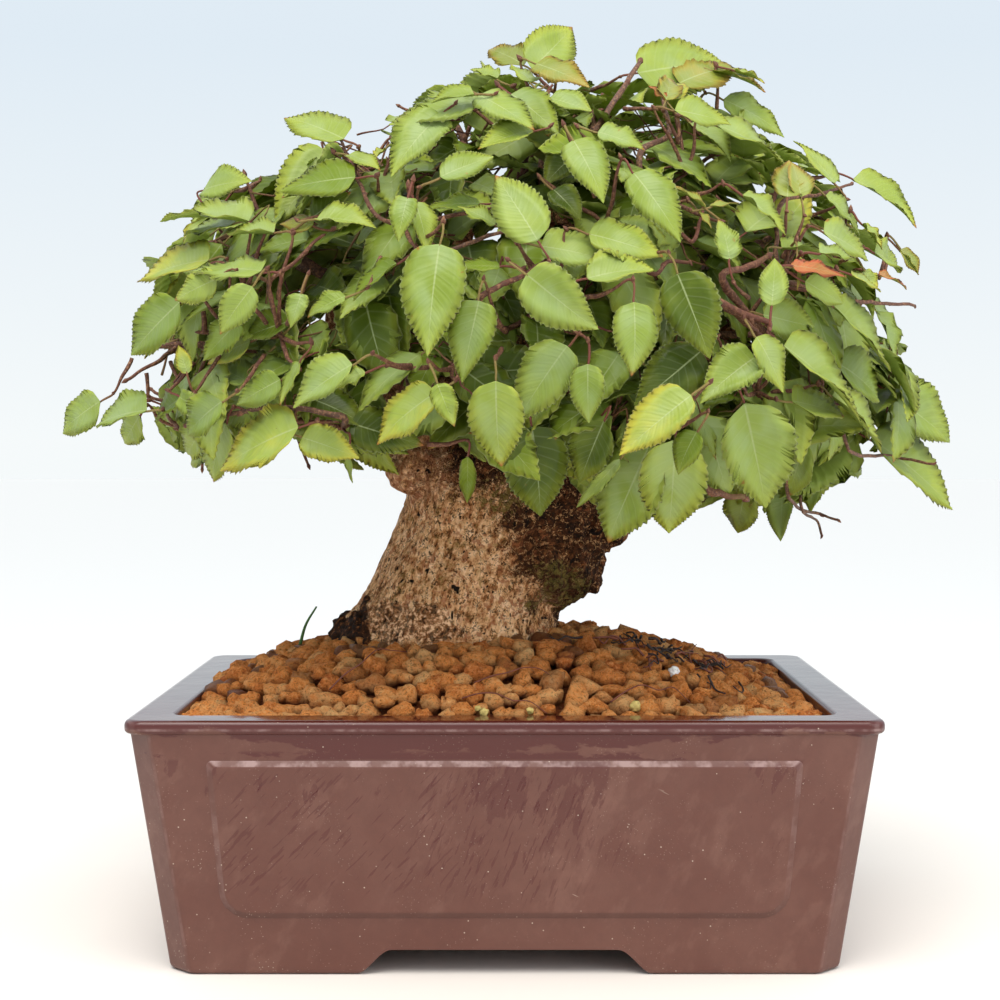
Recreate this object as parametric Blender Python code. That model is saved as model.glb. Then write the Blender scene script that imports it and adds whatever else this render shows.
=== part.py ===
"""Korean hornbeam bonsai in a rectangular stoneware pot, at its real size.

The pot stands on four corner feet, holds a mesh screen over each drain hole and a mound of clay
granules, and the tree stands in the mound. The tree's wood is one grown solid: trunk, burl and
branches. Each branch ends in a leafy spray, one solid of stem, leaf stalks and toothed blades.
All sizes below are in millimetres. +Z is up, the front faces -Y, and the origin lies on the
surface under the middle of the pot.
"""

import math
import random

import bmesh
import bpy
from mathutils import Matrix, Vector
from mathutils.bvhtree import BVHTree
from mathutils.geometry import delaunay_2d_cdt

MM = 0.001
GAP = 0.3
SEED = 12

# Pot
POT_RIM_X, POT_RIM_Y = 180.0, 140.0
POT_FOOT_X, POT_FOOT_Y = 162.0, 122.0
POT_HEIGHT = 62.0
RIM_BAND = 3.4
RIM_PROUD = 0.3
RIM_WIDTH = 10.5
RIM_CORNER = 5.0
BODY_CHAMFER = 5.5
FLOOR_UNDER, FLOOR_TOP = 6.2, 12.0
CAVITY_TAPER = 6.5
SKIRT = 12.0
ARCH_FRONT, ARCH_SIDE = 36.0, 24.0
ARCH_CURVE = 9.0
PANEL_FRONT, PANEL_SIDE = 70.5, 50.5
PANEL_LOW, PANEL_HIGH = 14.0, 52.5
PANEL_TAPER = 3.0
PANEL_RAISE = 0.9
PANEL_CORNER = 6.5
DRAIN_X, DRAIN_RADIUS = 38.0, 6.5
SCREEN_SIDE, SCREEN_THICK, SCREEN_BAR, SCREEN_SLOTS = 22.0, 1.0, 3.2, 2

# Soil
SOIL_EDGE, SOIL_CROWN = 60.2, 17.3
MOUND_X, MOUND_Y, MOUND_SHIFT = 80.0, 60.0, -4.0
GRAIN_PITCH = 9.2
GRAIN_RISE, GRAIN_DIP = 1.5, -1.3

# Trunk rings: centre x, centre y, height, half width, half depth
TRUNK_RINGS = (
    (-12.0, 0.0, 46.0, 15.0, 14.0),
    (-13.0, 0.0, 56.0, 22.0, 20.0),
    (-14.5, 0.0, 68.0, 29.5, 26.0),
    (-14.8, 0.0, 76.0, 29.6, 25.5),
    (-12.5, 0.0, 84.0, 26.8, 24.5),
    (-8.0, 0.5, 93.0, 26.5, 24.0),
    (-3.0, 1.0, 102.0, 27.5, 24.0),
    (1.5, 1.0, 110.0, 29.5, 24.0),
    (5.0, 1.0, 118.0, 31.0, 24.0),
    (6.5, 1.0, 126.0, 27.0, 22.0),
    (7.0, 1.0, 133.0, 19.0, 16.0),
    (7.0, 1.0, 138.0, 9.0, 8.0),
)
TRUNK_SIDES = 16
TRUNK_RELIEF = 1.3
BURL_CENTRE, BURL_RADII = (9.0, -2.0, 98.0), (18.0, 20.0, 16.0)
HOLE_TOP = 80.5

# Main branches: points x, y, z with a radius, from inside the trunk to a hub
MAIN_BRANCHES = {
    "left": ((-12, -2, 112, 10.0), (-21, -4, 128, 8.5), (-34, -7, 140, 6.0), (-47, -9, 148, 4.8)),
    "front": ((2, -6, 118, 9.0), (2, -19, 134, 6.5), (0, -34, 144, 4.8)),
    "right": ((19, 0, 109, 14.0), (34, -3, 119, 10.5), (43, -6, 128, 6.5), (49, -7, 134, 4.8)),
    "back": ((6, 8, 118, 10.0), (4, 24, 133, 7.0), (2, 38, 146, 4.8)),
    "crown": ((7, 1, 122, 12.0), (10, 2, 145, 9.0), (17, 2, 166, 7.0), (20, 1, 182, 4.8)),
    "shoulder": ((8, 1, 134, 8.0), (-4, 2, 154, 6.0), (-18, 4, 172, 4.6)),
}

# Crown: an egg-shaped dome that the leaves cover, about its centre
CROWN_CENTRE = Vector((0.0, 0.0, 142.0))
CROWN_X, CROWN_Y, CROWN_UP, CROWN_DOWN = 110.0, 92.0, 89.0, 40.0
# Rings of leafy sprays: elevation in degrees, number, first azimuth in degrees from the front
SPRAY_RINGS = ((-14.0, 10, 12.0), (12.0, 9, 0.0), (37.0, 8, 24.0), (61.0, 5, 8.0), (84.0, 2, 80.0))
ANCHOR_SHARE, STEM_SHARE = 0.56, 0.90
BRANCH_END_RADIUS, STEM_END_RADIUS = 2.0, 1.0

# Leaves
LEAF_LENGTH, LEAF_SPREAD = 23.0, 3.0
LEAF_HALF_WIDTH = 0.36
RIB_THICK = 0.95
DROOP = 0.12
STALK_RADIUS, NECK_RADIUS = 0.55, 0.95
CLEARANCE = 0.4
LONGEST_STALK = 26.0
LEAST_TURN = 0.15
NODE_PITCH = 1.8
TWIGS, TWIG_REACH, TWIG_RADIUS = 2, 15.0, 1.1
LEAVES_BY_RULE = 145
LEAVES_PER_SPRAY = 6

# Half of the toothed outline: share of the length, share of the half width
OUTLINE = ((0.0, 0.075), (0.06, 0.66), (0.38, 1.0), (0.50, 0.74), (0.68, 0.64))
RIB_STATIONS = (0.0, 0.42)

# The eye of someone in front of the pot, and the picture through which they see the leaves below
SIGHT_LEAN, SIGHT_BACK = 5.0, 14.0
SEEN_TRIES = tuple((push, turn) for turn in (0, 18, -18) for push in (0, 3, -3, 6, -6, 10, 14, 19, 25))
SHORTEST_LEAF, LONGEST_LEAF = 11.0, 27.0
EYE = Vector((1.5, -520.0, 128.0))
PICTURE_CENTRE, PICTURE_REACH = (511.0, 440.0), 1918.0

# Leaves seen from the front: base and tip in that picture, roll in degrees, rise off the dome in mm
SEEN_LEAVES = (
    # Left flank
    (245, 222, 162, 207, 48, 2), (258, 272, 186, 262, 40, 3), (206, 262, 132, 269, 40, 1),
    (232, 225, 183, 227, 45, -2),
    (272, 234, 225, 232, 50, 0), (178, 305, 125, 355, 15, 2), (216, 280, 170, 300, 20, 4),
    (251, 289, 216, 332, 5, 5), (301, 296, 291, 326, 0, 6), (344, 298, 306, 314, 20, 3),
    (288, 323, 242, 336, 20, -4), (239, 323, 200, 359, 15, -2), (249, 343, 204, 362, 30, -5),
    (295, 352, 241, 359, 25, -8), (350, 367, 287, 403, 25, 5), (300, 365, 277, 404, 60, 1),
    (364, 374, 331, 385, 30, 1), (99, 403, 53, 432, 20, 0), (145, 412, 91, 417, 40, 2),
    (140, 417, 120, 447, 15, -1), (183, 399, 149, 417, 35, -3), (221, 403, 178, 434, 10, 3),
    (279, 381, 234, 405, 15, 0), (205, 428, 180, 459, 20, -4), (226, 426, 200, 484, 15, -1),
    (295, 430, 209, 463, 28, 3), (305, 439, 357, 455, 10, 1), (354, 425, 420, 443, 15, -6),
    (311, 400, 366, 417, 20, -7),
    # Front
    (434, 395, 369, 438, 25, 4), (438, 386, 454, 427, 0, 7), (496, 385, 497, 472, 0, 6),
    (565, 350, 511, 420, 8, 2), (580, 414, 519, 434, 20, -6), (532, 430, 545, 519, 5, 0),
    (603, 424, 576, 487, 5, -2), (588, 367, 588, 423, 0, 5), (688, 399, 617, 451, 15, 8),
    (648, 450, 604, 549, 12, 1), (675, 444, 671, 543, 0, 5), (696, 434, 674, 474, 10, 9),
    (634, 306, 637, 373, 5, 7), (530, 277, 596, 329, 0, 9), (536, 238, 496, 169, 0, 6),
    (575, 144, 606, 195, 12, 7), (679, 278, 711, 357, 5, 4), (698, 354, 637, 406, 8, 0),
    (752, 360, 701, 395, 5, 4), (757, 340, 789, 391, 25, 6), (772, 304, 776, 257, 0, 8),
    (745, 408, 767, 512, 5, 5), (729, 258, 722, 217, 10, 5), (613, 232, 676, 236, 15, -5),
    (592, 236, 665, 252, 35, 2), (590, 279, 654, 262, 30, 3), (544, 248, 618, 258, 25, 1),
    (636, 177, 685, 236, 20, 3), (439, 250, 423, 354, 3, 8), (478, 305, 462, 381, 0, 4),
    (498, 268, 457, 266, 45, 2), (395, 266, 350, 297, 45, 1), (493, 225, 459, 203, 40, 2),
    (477, 205, 424, 203, 45, 0), (575, 156, 544, 179, 20, -6), (555, 192, 582, 217, 15, -3),
    (407, 201, 396, 237, 8, 6), (415, 205, 431, 246, 25, 3), (443, 177, 493, 153, 25, 4),
    (529, 132, 477, 145, 35, 1), (600, 134, 645, 146, 35, 1), (783, 249, 821, 250, 50, 0),
    (805, 443, 787, 497, 20, -4), (745, 492, 736, 536, 5, -6), (783, 497, 780, 541, 15, -8),
    (816, 480, 808, 512, 20, -8), (794, 403, 850, 412, 35, 0),
    # Top
    (341, 139, 284, 110, 35, 2), (352, 179, 276, 186, 35, 1), (350, 157, 379, 163, 55, 0),
    (314, 217, 350, 192, 25, -2), (312, 226, 279, 220, 25, -3), (320, 220, 373, 216, 50, 1),
    (207, 190, 247, 175, 40, -4), (478, 103, 388, 118, 52, 2), (472, 96, 431, 98, 45, 4),
    (439, 118, 386, 163, 20, 2), (482, 98, 535, 125, 38, 3), (514, 97, 561, 129, 25, 0),
    (552, 100, 591, 110, 40, 1), (534, 68, 578, 22, 5, 3), (539, 66, 588, 81, 40, 2),
    (522, 65, 484, 40, 30, 1), (496, 79, 470, 66, 45, -1), (529, 82, 514, 61, 45, 0),
    (642, 73, 736, 54, 20, 1), (682, 83, 738, 56, 30, 4), (715, 72, 768, 82, 55, 3),
    (677, 112, 733, 120, 35, 4), (726, 102, 789, 128, 30, 0), (720, 128, 795, 156, 50, 2),
    (693, 126, 736, 153, 40, -2),
    # Right flank
    (832, 182, 797, 137, 45, 1), (800, 196, 793, 160, 30, 3), (775, 202, 819, 172, 20, -2),
    (856, 182, 924, 213, 40, 2), (827, 198, 868, 230, 50, 0), (744, 198, 792, 227, 55, 4),
    (825, 234, 877, 254, 35, 2), (859, 234, 881, 249, 30, -2), (875, 254, 906, 268, 35, 1),
    (901, 251, 921, 273, 30, -1), (821, 254, 857, 253, 50, 5), (794, 267, 849, 271, 30, 7),
    (806, 283, 844, 305, 20, 3), (865, 272, 877, 289, 15, 1), (853, 294, 913, 326, 50, -1),
    (836, 310, 897, 365, 50, 0), (848, 346, 925, 392, 55, -3), (765, 316, 819, 329, 20, -3),
    (787, 350, 872, 412, 50, 3), (838, 365, 892, 394, 25, -3), (886, 392, 957, 441, 25, 0),
    (865, 397, 908, 430, 20, -3), (834, 399, 890, 446, 50, 2), (874, 443, 965, 499, 45, 0),
    (832, 450, 870, 475, 30, -3),
)


def clear_scene():
    """Removes whatever the start-up file holds."""
    for obj in list(bpy.data.objects):
        bpy.data.objects.remove(obj, do_unlink=True)


def surface(name, colour, roughness):
    """A plain finish for one kind of piece."""
    made = bpy.data.materials.new(name)
    made.use_nodes = True
    shader = made.node_tree.nodes["Principled BSDF"]
    shader.inputs["Base Color"].default_value = (*colour, 1.0)
    shader.inputs["Roughness"].default_value = roughness
    return made


def make_object(name, shape, finish=None, collection=None):
    """An object from (points in mm, faces), with its faces turned outwards."""
    points, faces = shape
    mesh = bpy.data.meshes.new(name)
    mesh.from_pydata([Vector(p) * MM for p in points], [], faces)
    work = bmesh.new()
    work.from_mesh(mesh)
    bmesh.ops.recalc_face_normals(work, faces=work.faces)
    if work.calc_volume(signed=True) < 0:
        bmesh.ops.reverse_faces(work, faces=work.faces)
    work.to_mesh(mesh)
    work.free()
    made = bpy.data.objects.new(name, mesh)
    if finish:
        mesh.materials.append(finish)
    (collection or bpy.context.scene.collection).objects.link(made)
    return made


def combine(target, tools, operation):
    """One Boolean of target with all the tools, applied, with the tools then removed."""
    group = bpy.data.collections.new("tools")
    bpy.context.scene.collection.children.link(group)
    for tool in tools:
        for owner in list(tool.users_collection):
            owner.objects.unlink(tool)
        group.objects.link(tool)
    modifier = target.modifiers.new("join", "BOOLEAN")
    modifier.operation = operation
    modifier.operand_type = "COLLECTION"
    modifier.collection = group
    modifier.solver = "MANIFOLD" if operation == "UNION" else "EXACT"
    graph = bpy.context.evaluated_depsgraph_get()
    mesh = bpy.data.meshes.new_from_object(target.evaluated_get(graph))
    target.modifiers.remove(modifier)
    target.data = mesh
    for tool in tools:
        bpy.data.objects.remove(tool, do_unlink=True)
    bpy.data.collections.remove(group)
    return target


def loft(rings):
    """A closed solid through rings of equally many points, capped flat at both ends."""
    count = len(rings[0])
    points = [p for ring in rings for p in ring]
    faces = [tuple(range(count))]
    for k in range(len(rings) - 1):
        low, high = k * count, (k + 1) * count
        for i in range(count):
            j = (i + 1) % count
            faces.append((low + i, low + j, high + j, high + i))
    last = (len(rings) - 1) * count
    faces.append(tuple(range(last + count - 1, last - 1, -1)))
    return points, faces


def tube(path, radii, sides, first=None):
    """A tapering tube along a path, its rings square to the path, or the first one square to first."""
    side = None
    rings = []
    for k, (point, radius) in enumerate(zip(path, radii)):
        before, after = path[max(k - 1, 0)], path[min(k + 1, len(path) - 1)]
        along = (after - before).normalized()
        if k == 0:
            along = first or (path[1] - path[0]).normalized()
        elif k == len(path) - 1:
            along = (path[-1] - path[-2]).normalized()
        if side is None:
            side = along.orthogonal().normalized()
        side = (side - along * side.dot(along)).normalized()
        other = along.cross(side)
        turns = [2 * math.pi * i / sides for i in range(sides)]
        rings.append([point + (side * math.cos(t) + other * math.sin(t)) * radius for t in turns])
    return loft(rings)


def box(low, high):
    """A plain box between two corners."""
    (x0, y0, z0), (x1, y1, z1) = low, high
    return loft([[(x0, y0, z), (x1, y0, z), (x1, y1, z), (x0, y1, z)] for z in (z0, z1)])


# Pot


def chamfered(half_x, half_y, cut, z):
    """A rectangle with cut corners, at height z."""
    corners = [(half_x, half_y - cut), (half_x - cut, half_y)]
    ring = []
    for sx, sy in ((1, 1), (-1, 1), (-1, -1), (1, -1)):
        pair = [(sx * x, sy * y, z) for x, y in corners]
        ring += pair if sx * sy > 0 else pair[::-1]
    return ring


def rounded(half_x, half_y, radius, z, steps=4):
    """A rectangle with round corners, at height z."""
    ring = []
    for corner, (sx, sy) in enumerate(((1, 1), (-1, 1), (-1, -1), (1, -1))):
        for i in range(steps + 1):
            turn = math.radians(90 * corner + 90 * i / steps)
            x = sx * (half_x - radius) + radius * math.cos(turn)
            y = sy * (half_y - radius) + radius * math.sin(turn)
            ring.append((x, y, z))
    return ring


def body_half(z):
    """Half width and half depth of the pot's tapering body at height z."""
    share = z / POT_HEIGHT
    half_x = (POT_FOOT_X + (POT_RIM_X - POT_FOOT_X) * share) / 2 - RIM_PROUD * share
    half_y = (POT_FOOT_Y + (POT_RIM_Y - POT_FOOT_Y) * share) / 2 - RIM_PROUD * share
    return half_x, half_y


def cavity_half(z):
    """Half width and half depth of the inside at height z."""
    inward = CAVITY_TAPER * (POT_HEIGHT - z) / (POT_HEIGHT - FLOOR_TOP)
    return POT_RIM_X / 2 - RIM_WIDTH - inward, POT_RIM_Y / 2 - RIM_WIDTH - inward


def arch_profile(half):
    """The outline of the opening between two feet: across, height, with S-shaped ends."""
    rise = []
    for i in range(6):
        t = i / 5
        rise.append((half - ARCH_CURVE * t, FLOOR_UNDER * (3 * t * t - 2 * t**3)))
    across = [(half, -2.0), *rise]
    return [(-x, z) for x, z in across] + [(x, z) for x, z in reversed(across)]


def arch_cutter(half, reach, along_y):
    """The space between two feet, run right through the pot."""
    profile = arch_profile(half)
    if along_y:
        rings = [[(x, y, z) for x, z in profile] for y in (-reach, reach)]
    else:
        rings = [[(x, y, z) for y, z in profile] for x in (-reach, reach)]
    return loft(rings)


def panel(half_width, face_axis, sign):
    """A raised panel with two round lower corners, on one tapering face of the pot."""
    slope_half = body_half(PANEL_LOW)[face_axis], body_half(PANEL_HIGH)[face_axis]
    corners = ((1, 1, 1.5, 1), (-1, 1, 1.5, 1), (-1, -1, PANEL_CORNER, 4), (1, -1, PANEL_CORNER, 4))
    middle = (PANEL_LOW + PANEL_HIGH) / 2
    half_height = (PANEL_HIGH - PANEL_LOW) / 2
    rings = []
    for lift, inset in ((-1.5, 0.0), (0.15, 0.0), (PANEL_RAISE, 0.9)):
        ring = []
        for number, (sx, sz, radius, steps) in enumerate(corners):
            for i in range(steps):
                turn = math.radians(90 * number + (30 * i if steps > 1 else 45))
                across = sx * (half_width - radius) + (radius - inset) * math.cos(turn)
                height = middle + sz * (half_height - radius) + (radius - inset) * math.sin(turn)
                share = (height - PANEL_LOW) / (PANEL_HIGH - PANEL_LOW)
                across -= math.copysign(PANEL_TAPER * (1 - share), across)
                out = slope_half[0] + (slope_half[1] - slope_half[0]) * share + lift
                ring.append((across, sign * out, height) if face_axis else (sign * out, across, height))
        rings.append(ring)
    return loft(rings)


def make_pot(finish):
    """The pot: body, rim, feet, panels and two drain holes in one fired piece."""
    cut = BODY_CHAMFER
    heights = (0.0, 1.2, POT_HEIGHT - RIM_BAND + 0.6)
    rings = []
    for z, inset in zip(heights, (0.8, 0.0, 0.0)):
        half_x, half_y = body_half(z)
        rings.append(chamfered(half_x - inset, half_y - inset, cut, z))
    pot = make_object("pot", loft(rings), finish)
    rim = []
    low = POT_HEIGHT - RIM_BAND
    for z, inset in ((low, 1.0), (low + 0.9, 0.0), (POT_HEIGHT - 1.1, 0.0), (POT_HEIGHT, 1.0)):
        rim.append(rounded(POT_RIM_X / 2 - inset, POT_RIM_Y / 2 - inset, RIM_CORNER, z, 3))
    parts = [make_object("rim", loft(rim))]
    for half, axis in ((PANEL_FRONT, 1), (PANEL_SIDE, 0)):
        for sign in (-1, 1):
            parts.append(make_object("panel", panel(half, axis, sign)))
    combine(pot, parts, "UNION")
    cavity = [rounded(*cavity_half(z), 4.0, z, 2) for z in (FLOOR_TOP, POT_HEIGHT - 0.8)]
    top_x, top_y = cavity_half(POT_HEIGHT)
    cavity.append(rounded(top_x + 0.8, top_y + 0.8, 4.8, POT_HEIGHT + 2.0, 2))
    foot_x, foot_y = POT_FOOT_X / 2 - SKIRT, POT_FOOT_Y / 2 - SKIRT
    cutters = [
        make_object("cavity", loft(cavity)),
        make_object("under", loft([rounded(foot_x, foot_y, 5.0, z, 2) for z in (-2.0, FLOOR_UNDER)])),
        make_object("arch_y", arch_cutter(ARCH_FRONT, POT_RIM_Y, True)),
        make_object("arch_x", arch_cutter(ARCH_SIDE, POT_RIM_X, False)),
    ]
    for x in (-DRAIN_X, DRAIN_X):
        path = [Vector((x, 0, FLOOR_UNDER - 3)), Vector((x, 0, FLOOR_TOP + 3))]
        cutters.append(make_object("drain", tube(path, (DRAIN_RADIUS,) * 2, 12)))
    return combine(pot, cutters, "DIFFERENCE")


def make_screen(name, centre_x, finish):
    """A square mesh screen that keeps the soil off a drain hole."""
    half = SCREEN_SIDE / 2
    low = FLOOR_TOP + GAP
    shape = box((centre_x - half, -half, low), (centre_x + half, half, low + SCREEN_THICK))
    plate = make_object(name, shape, finish)
    opening = (SCREEN_SIDE - (SCREEN_SLOTS + 1) * SCREEN_BAR) / SCREEN_SLOTS
    cutters = []
    for i in range(SCREEN_SLOTS):
        for j in range(SCREEN_SLOTS):
            x = centre_x - half + SCREEN_BAR + i * (opening + SCREEN_BAR)
            y = -half + SCREEN_BAR + j * (opening + SCREEN_BAR)
            cutters.append(make_object("slot", box((x, y, low - 1), (x + opening, y + opening, low + 3))))
    return combine(plate, cutters, "DIFFERENCE")


# Soil


def mound(x, y):
    """Height of the soil before its granules."""
    rho = math.hypot((x - MOUND_SHIFT) / MOUND_X, y / MOUND_Y)
    return SOIL_EDGE + SOIL_CROWN * (1 - min(rho, 1.0) ** 2.4)


def soil_shape(draw):
    """A closed block of soil whose top is a triangular lattice of granules and the dips between."""
    half_x, half_y = (h - GAP for h in cavity_half(SOIL_EDGE))
    edge = [(x, y) for x, y, _ in rounded(half_x, half_y, 4.0, 0, 2)]
    border = []
    for k, (x, y) in enumerate(edge):
        nx, ny = edge[(k + 1) % len(edge)]
        pieces = max(1, round(math.hypot(nx - x, ny - y) / GRAIN_PITCH))
        border += [(x + (nx - x) * i / pieces, y + (ny - y) * i / pieces) for i in range(pieces)]
    step = GRAIN_PITCH / math.sqrt(3)
    row = step * math.sqrt(3) / 2
    flat, rise = [Vector(p) for p in border], [GRAIN_DIP * 0.4] * len(border)
    for j in range(-int(half_y / row), int(half_y / row) + 1):
        for i in range(-int(half_x / step) - 1, int(half_x / step) + 2):
            x, y = (i + 0.5 * (j % 2)) * step, j * row
            if abs(x) > half_x - 0.55 * step or abs(y) > half_y - 0.55 * step:
                continue
            kind = (i + (j + 1) // 2 + j) % 3
            lift = GRAIN_RISE if kind == 0 else GRAIN_DIP
            flat.append(Vector((x + draw.uniform(-0.7, 0.7), y + draw.uniform(-0.7, 0.7))))
            rise.append(lift + draw.uniform(-0.5, 0.5))
    loop = list(range(len(border)))
    edges = [(k, (k + 1) % len(border)) for k in loop]
    top, _, faces, source, _, _ = delaunay_2d_cdt(flat, edges, [loop], 1, 1e-4)
    points = []
    for place, origin in zip(top, source):
        points.append((place.x, place.y, mound(place.x, place.y) + rise[origin[0]]))
    low_x, low_y = (h - GAP for h in cavity_half(FLOOR_TOP))
    low = FLOOR_TOP + GAP
    base = []
    for index in loop:
        x, y = border[index]
        base.append((x * low_x / half_x, y * low_y / half_y, low))
    rim_of = {origin[0]: k for k, origin in enumerate(source) if origin and origin[0] < len(border)}
    start = len(points)
    points += base
    faces = [tuple(f) for f in faces]
    for k in loop:
        j = (k + 1) % len(border)
        faces.append((start + k, start + j, rim_of[j], rim_of[k]))
    faces.append(tuple(start + k for k in reversed(loop)))
    return points, faces


def make_soil(finish):
    """Soil that fills the pot, with a plain hole for the trunk and a seat for each screen."""
    soil = make_object("soil", soil_shape(random.Random(SEED)), finish)
    cutters = [make_object("hole", trunk_shape(2 * GAP, HOLE_TOP))]
    reach = SCREEN_SIDE / 2 + GAP
    high = FLOOR_TOP + 2 * GAP + SCREEN_THICK
    for x in (-DRAIN_X, DRAIN_X):
        cutters.append(make_object("seat", box((x - reach, -reach, 0), (x + reach, reach, high))))
    return combine(soil, cutters, "DIFFERENCE")


# Wood


def bark(turn, z):
    """How far the bark stands out, as long ridges that wander round the trunk."""
    ridges = math.sin(5 * turn + 0.06 * z) + 0.6 * math.sin(9 * turn - 0.11 * z + 1.7)
    return TRUNK_RELIEF * (0.55 * ridges + 0.35 * math.sin(3 * turn + 0.23 * z))


def trunk_shape(extra=0.0, top=None):
    """The trunk as a loft. With extra it is the hole that the trunk stands in, up to top."""
    rings = []
    for x, y, z, half_x, half_y in TRUNK_RINGS:
        if top is not None and z > top + 6.0:
            break
        ring = []
        for i in range(TRUNK_SIDES):
            turn = 2 * math.pi * i / TRUNK_SIDES
            out = extra + bark(turn, z) * min(1.0, half_x / 20)
            ring.append((x + (half_x + out) * math.cos(turn), y + (half_y + out) * math.sin(turn), z))
        rings.append(ring)
    if extra:
        rings[0] = [(x, y, z - extra) for x, y, z in rings[0]]
    points, faces = loft(rings)
    caps, walls = (faces[0], faces[-1]), faces[1:-1]
    halves = [half for a, b, c, d in walls for half in ((a, b, c), (a, c, d))]
    return points, [*caps, *halves]


def burl_shape():
    """The rounded swelling low on the right of the trunk."""
    work = bmesh.new()
    bmesh.ops.create_icosphere(work, subdivisions=2, radius=1.0)
    points = []
    for v in work.verts:
        lump = 1 + 0.07 * math.sin(4 * v.co.x + 3 * v.co.z) * math.cos(5 * v.co.y)
        points.append([c + r * k * lump for c, r, k in zip(BURL_CENTRE, BURL_RADII, v.co)])
    faces = [tuple(v.index for v in f.verts) for f in work.faces]
    work.free()
    return points, faces


def crown_point(azimuth, elevation, share):
    """A point of the crown's dome: azimuth from the front towards +X, in degrees."""
    a, e = math.radians(azimuth), math.radians(elevation)
    up = CROWN_UP if e > 0 else CROWN_DOWN
    x, y, z = math.sin(a) * math.cos(e), -math.cos(a) * math.cos(e), math.sin(e)
    return CROWN_CENTRE + Vector((CROWN_X * x, CROWN_Y * y, up * z)) * share


def crown_up(point):
    """The dome's reach above its centre, or below it for a point that lies lower."""
    return CROWN_UP if point.z > CROWN_CENTRE.z else CROWN_DOWN


def crown_normal(point):
    """The way out of the dome at a point."""
    p = point - CROWN_CENTRE
    return Vector((p.x / CROWN_X**2, p.y / CROWN_Y**2, p.z / crown_up(point) ** 2)).normalized()


def spray_places():
    """(branch end, stem tip) of each leafy spray, ring by ring round the crown."""
    places = []
    for elevation, count, first in SPRAY_RINGS:
        for k in range(count):
            azimuth = first + 360 * k / count
            places.append((crown_point(azimuth, elevation, ANCHOR_SHARE),
                           crown_point(azimuth, elevation - 4, STEM_SHARE)))
    return places


def side_branches(places):
    """The branch to each spray, from the nearest point of a main branch, as a path with radii."""
    nodes = []
    for points in MAIN_BRANCHES.values():
        for (x0, y0, z0, r0), (x1, y1, z1, r1) in zip(points, points[1:]):
            for t in (0.2, 0.45, 0.7, 0.92):
                p = Vector((x0, y0, z0)).lerp(Vector((x1, y1, z1)), t)
                nodes.append((p, r0 + (r1 - r0) * t))
    branches = []
    for end, tip in places:
        start, radius = min(nodes, key=lambda n: (n[0] - end).length + 1.5 * n[1])
        bend = start.lerp(end, 0.6) + Vector((0, 0, 0.08 * (end - start).length))
        thick = min(3.4, radius * 0.75)
        radii = (thick, 0.5 * (thick + BRANCH_END_RADIUS), BRANCH_END_RADIUS)
        branches.append(([start, bend, end], radii))
    return branches


def make_tree(finish, branches):
    """Trunk, burl, main branches and side branches, grown as one piece."""
    tree = make_object("tree_wood", trunk_shape(), finish)
    parts = [make_object("burl", burl_shape())]
    for points in MAIN_BRANCHES.values():
        path = [Vector(p[:3]) for p in points]
        parts.append(make_object("main", tube(path, [p[3] for p in points], 7)))
    for path, radii in branches:
        parts.append(make_object("side", tube(path, radii, 4)))
    return combine(tree, parts, "UNION")


# Leaves


def sight_point(px, py, rise):
    """A line of sight through the picture, and how far along it the dome is met or passed."""
    way = Vector(((px - PICTURE_CENTRE[0]) / PICTURE_REACH, 1.0, (PICTURE_CENTRE[1] - py) / PICTURE_REACH))
    scale = 1 + rise / 100
    eye = EYE - CROWN_CENTRE
    up = CROWN_UP if (EYE + way * 500).z > CROWN_CENTRE.z else CROWN_DOWN + 12
    axes = Vector((CROWN_X * scale, CROWN_Y * scale, up * scale))
    e = Vector(a / b for a, b in zip(eye, axes))
    w = Vector(a / b for a, b in zip(way, axes))
    half, whole = e.dot(w) / w.dot(w), (e.dot(e) - 1) / w.dot(w)
    inside = half * half - whole
    reach = -half - math.sqrt(inside) if inside > 0 else -half
    return way, reach, inside > 0


def sight_line(picture, rise, push):
    """Base and tip of a seen leaf, neither much nearer to the eye than the other, pushed back by mm."""
    x0, y0, x1, y1 = picture
    (way0, reach0, _), (way1, reach1, tip_in) = sight_point(x0, y0, rise), sight_point(x1, y1, rise + 2)
    middle = push + ((reach0 + reach1) / 2 if tip_in else reach1 + SIGHT_BACK)
    lean = max(-SIGHT_LEAN, min(SIGHT_LEAN, (reach1 - reach0) / 2))
    return EYE + way0 * (middle - lean), EYE + way1 * (middle + lean)


def leaf_frame(base, tip, roll):
    """Base, direction, normal and length of a blade from base to tip, turned about its rib by roll."""
    way = tip - base
    along = way.normalized()
    out = crown_normal(base.lerp(tip, 0.5)) + Vector((0, 0, 0.35))
    out = (out - along * out.dot(along)).normalized()
    return base, along, Matrix.Rotation(math.radians(roll), 3, along) @ out, way.length


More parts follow.
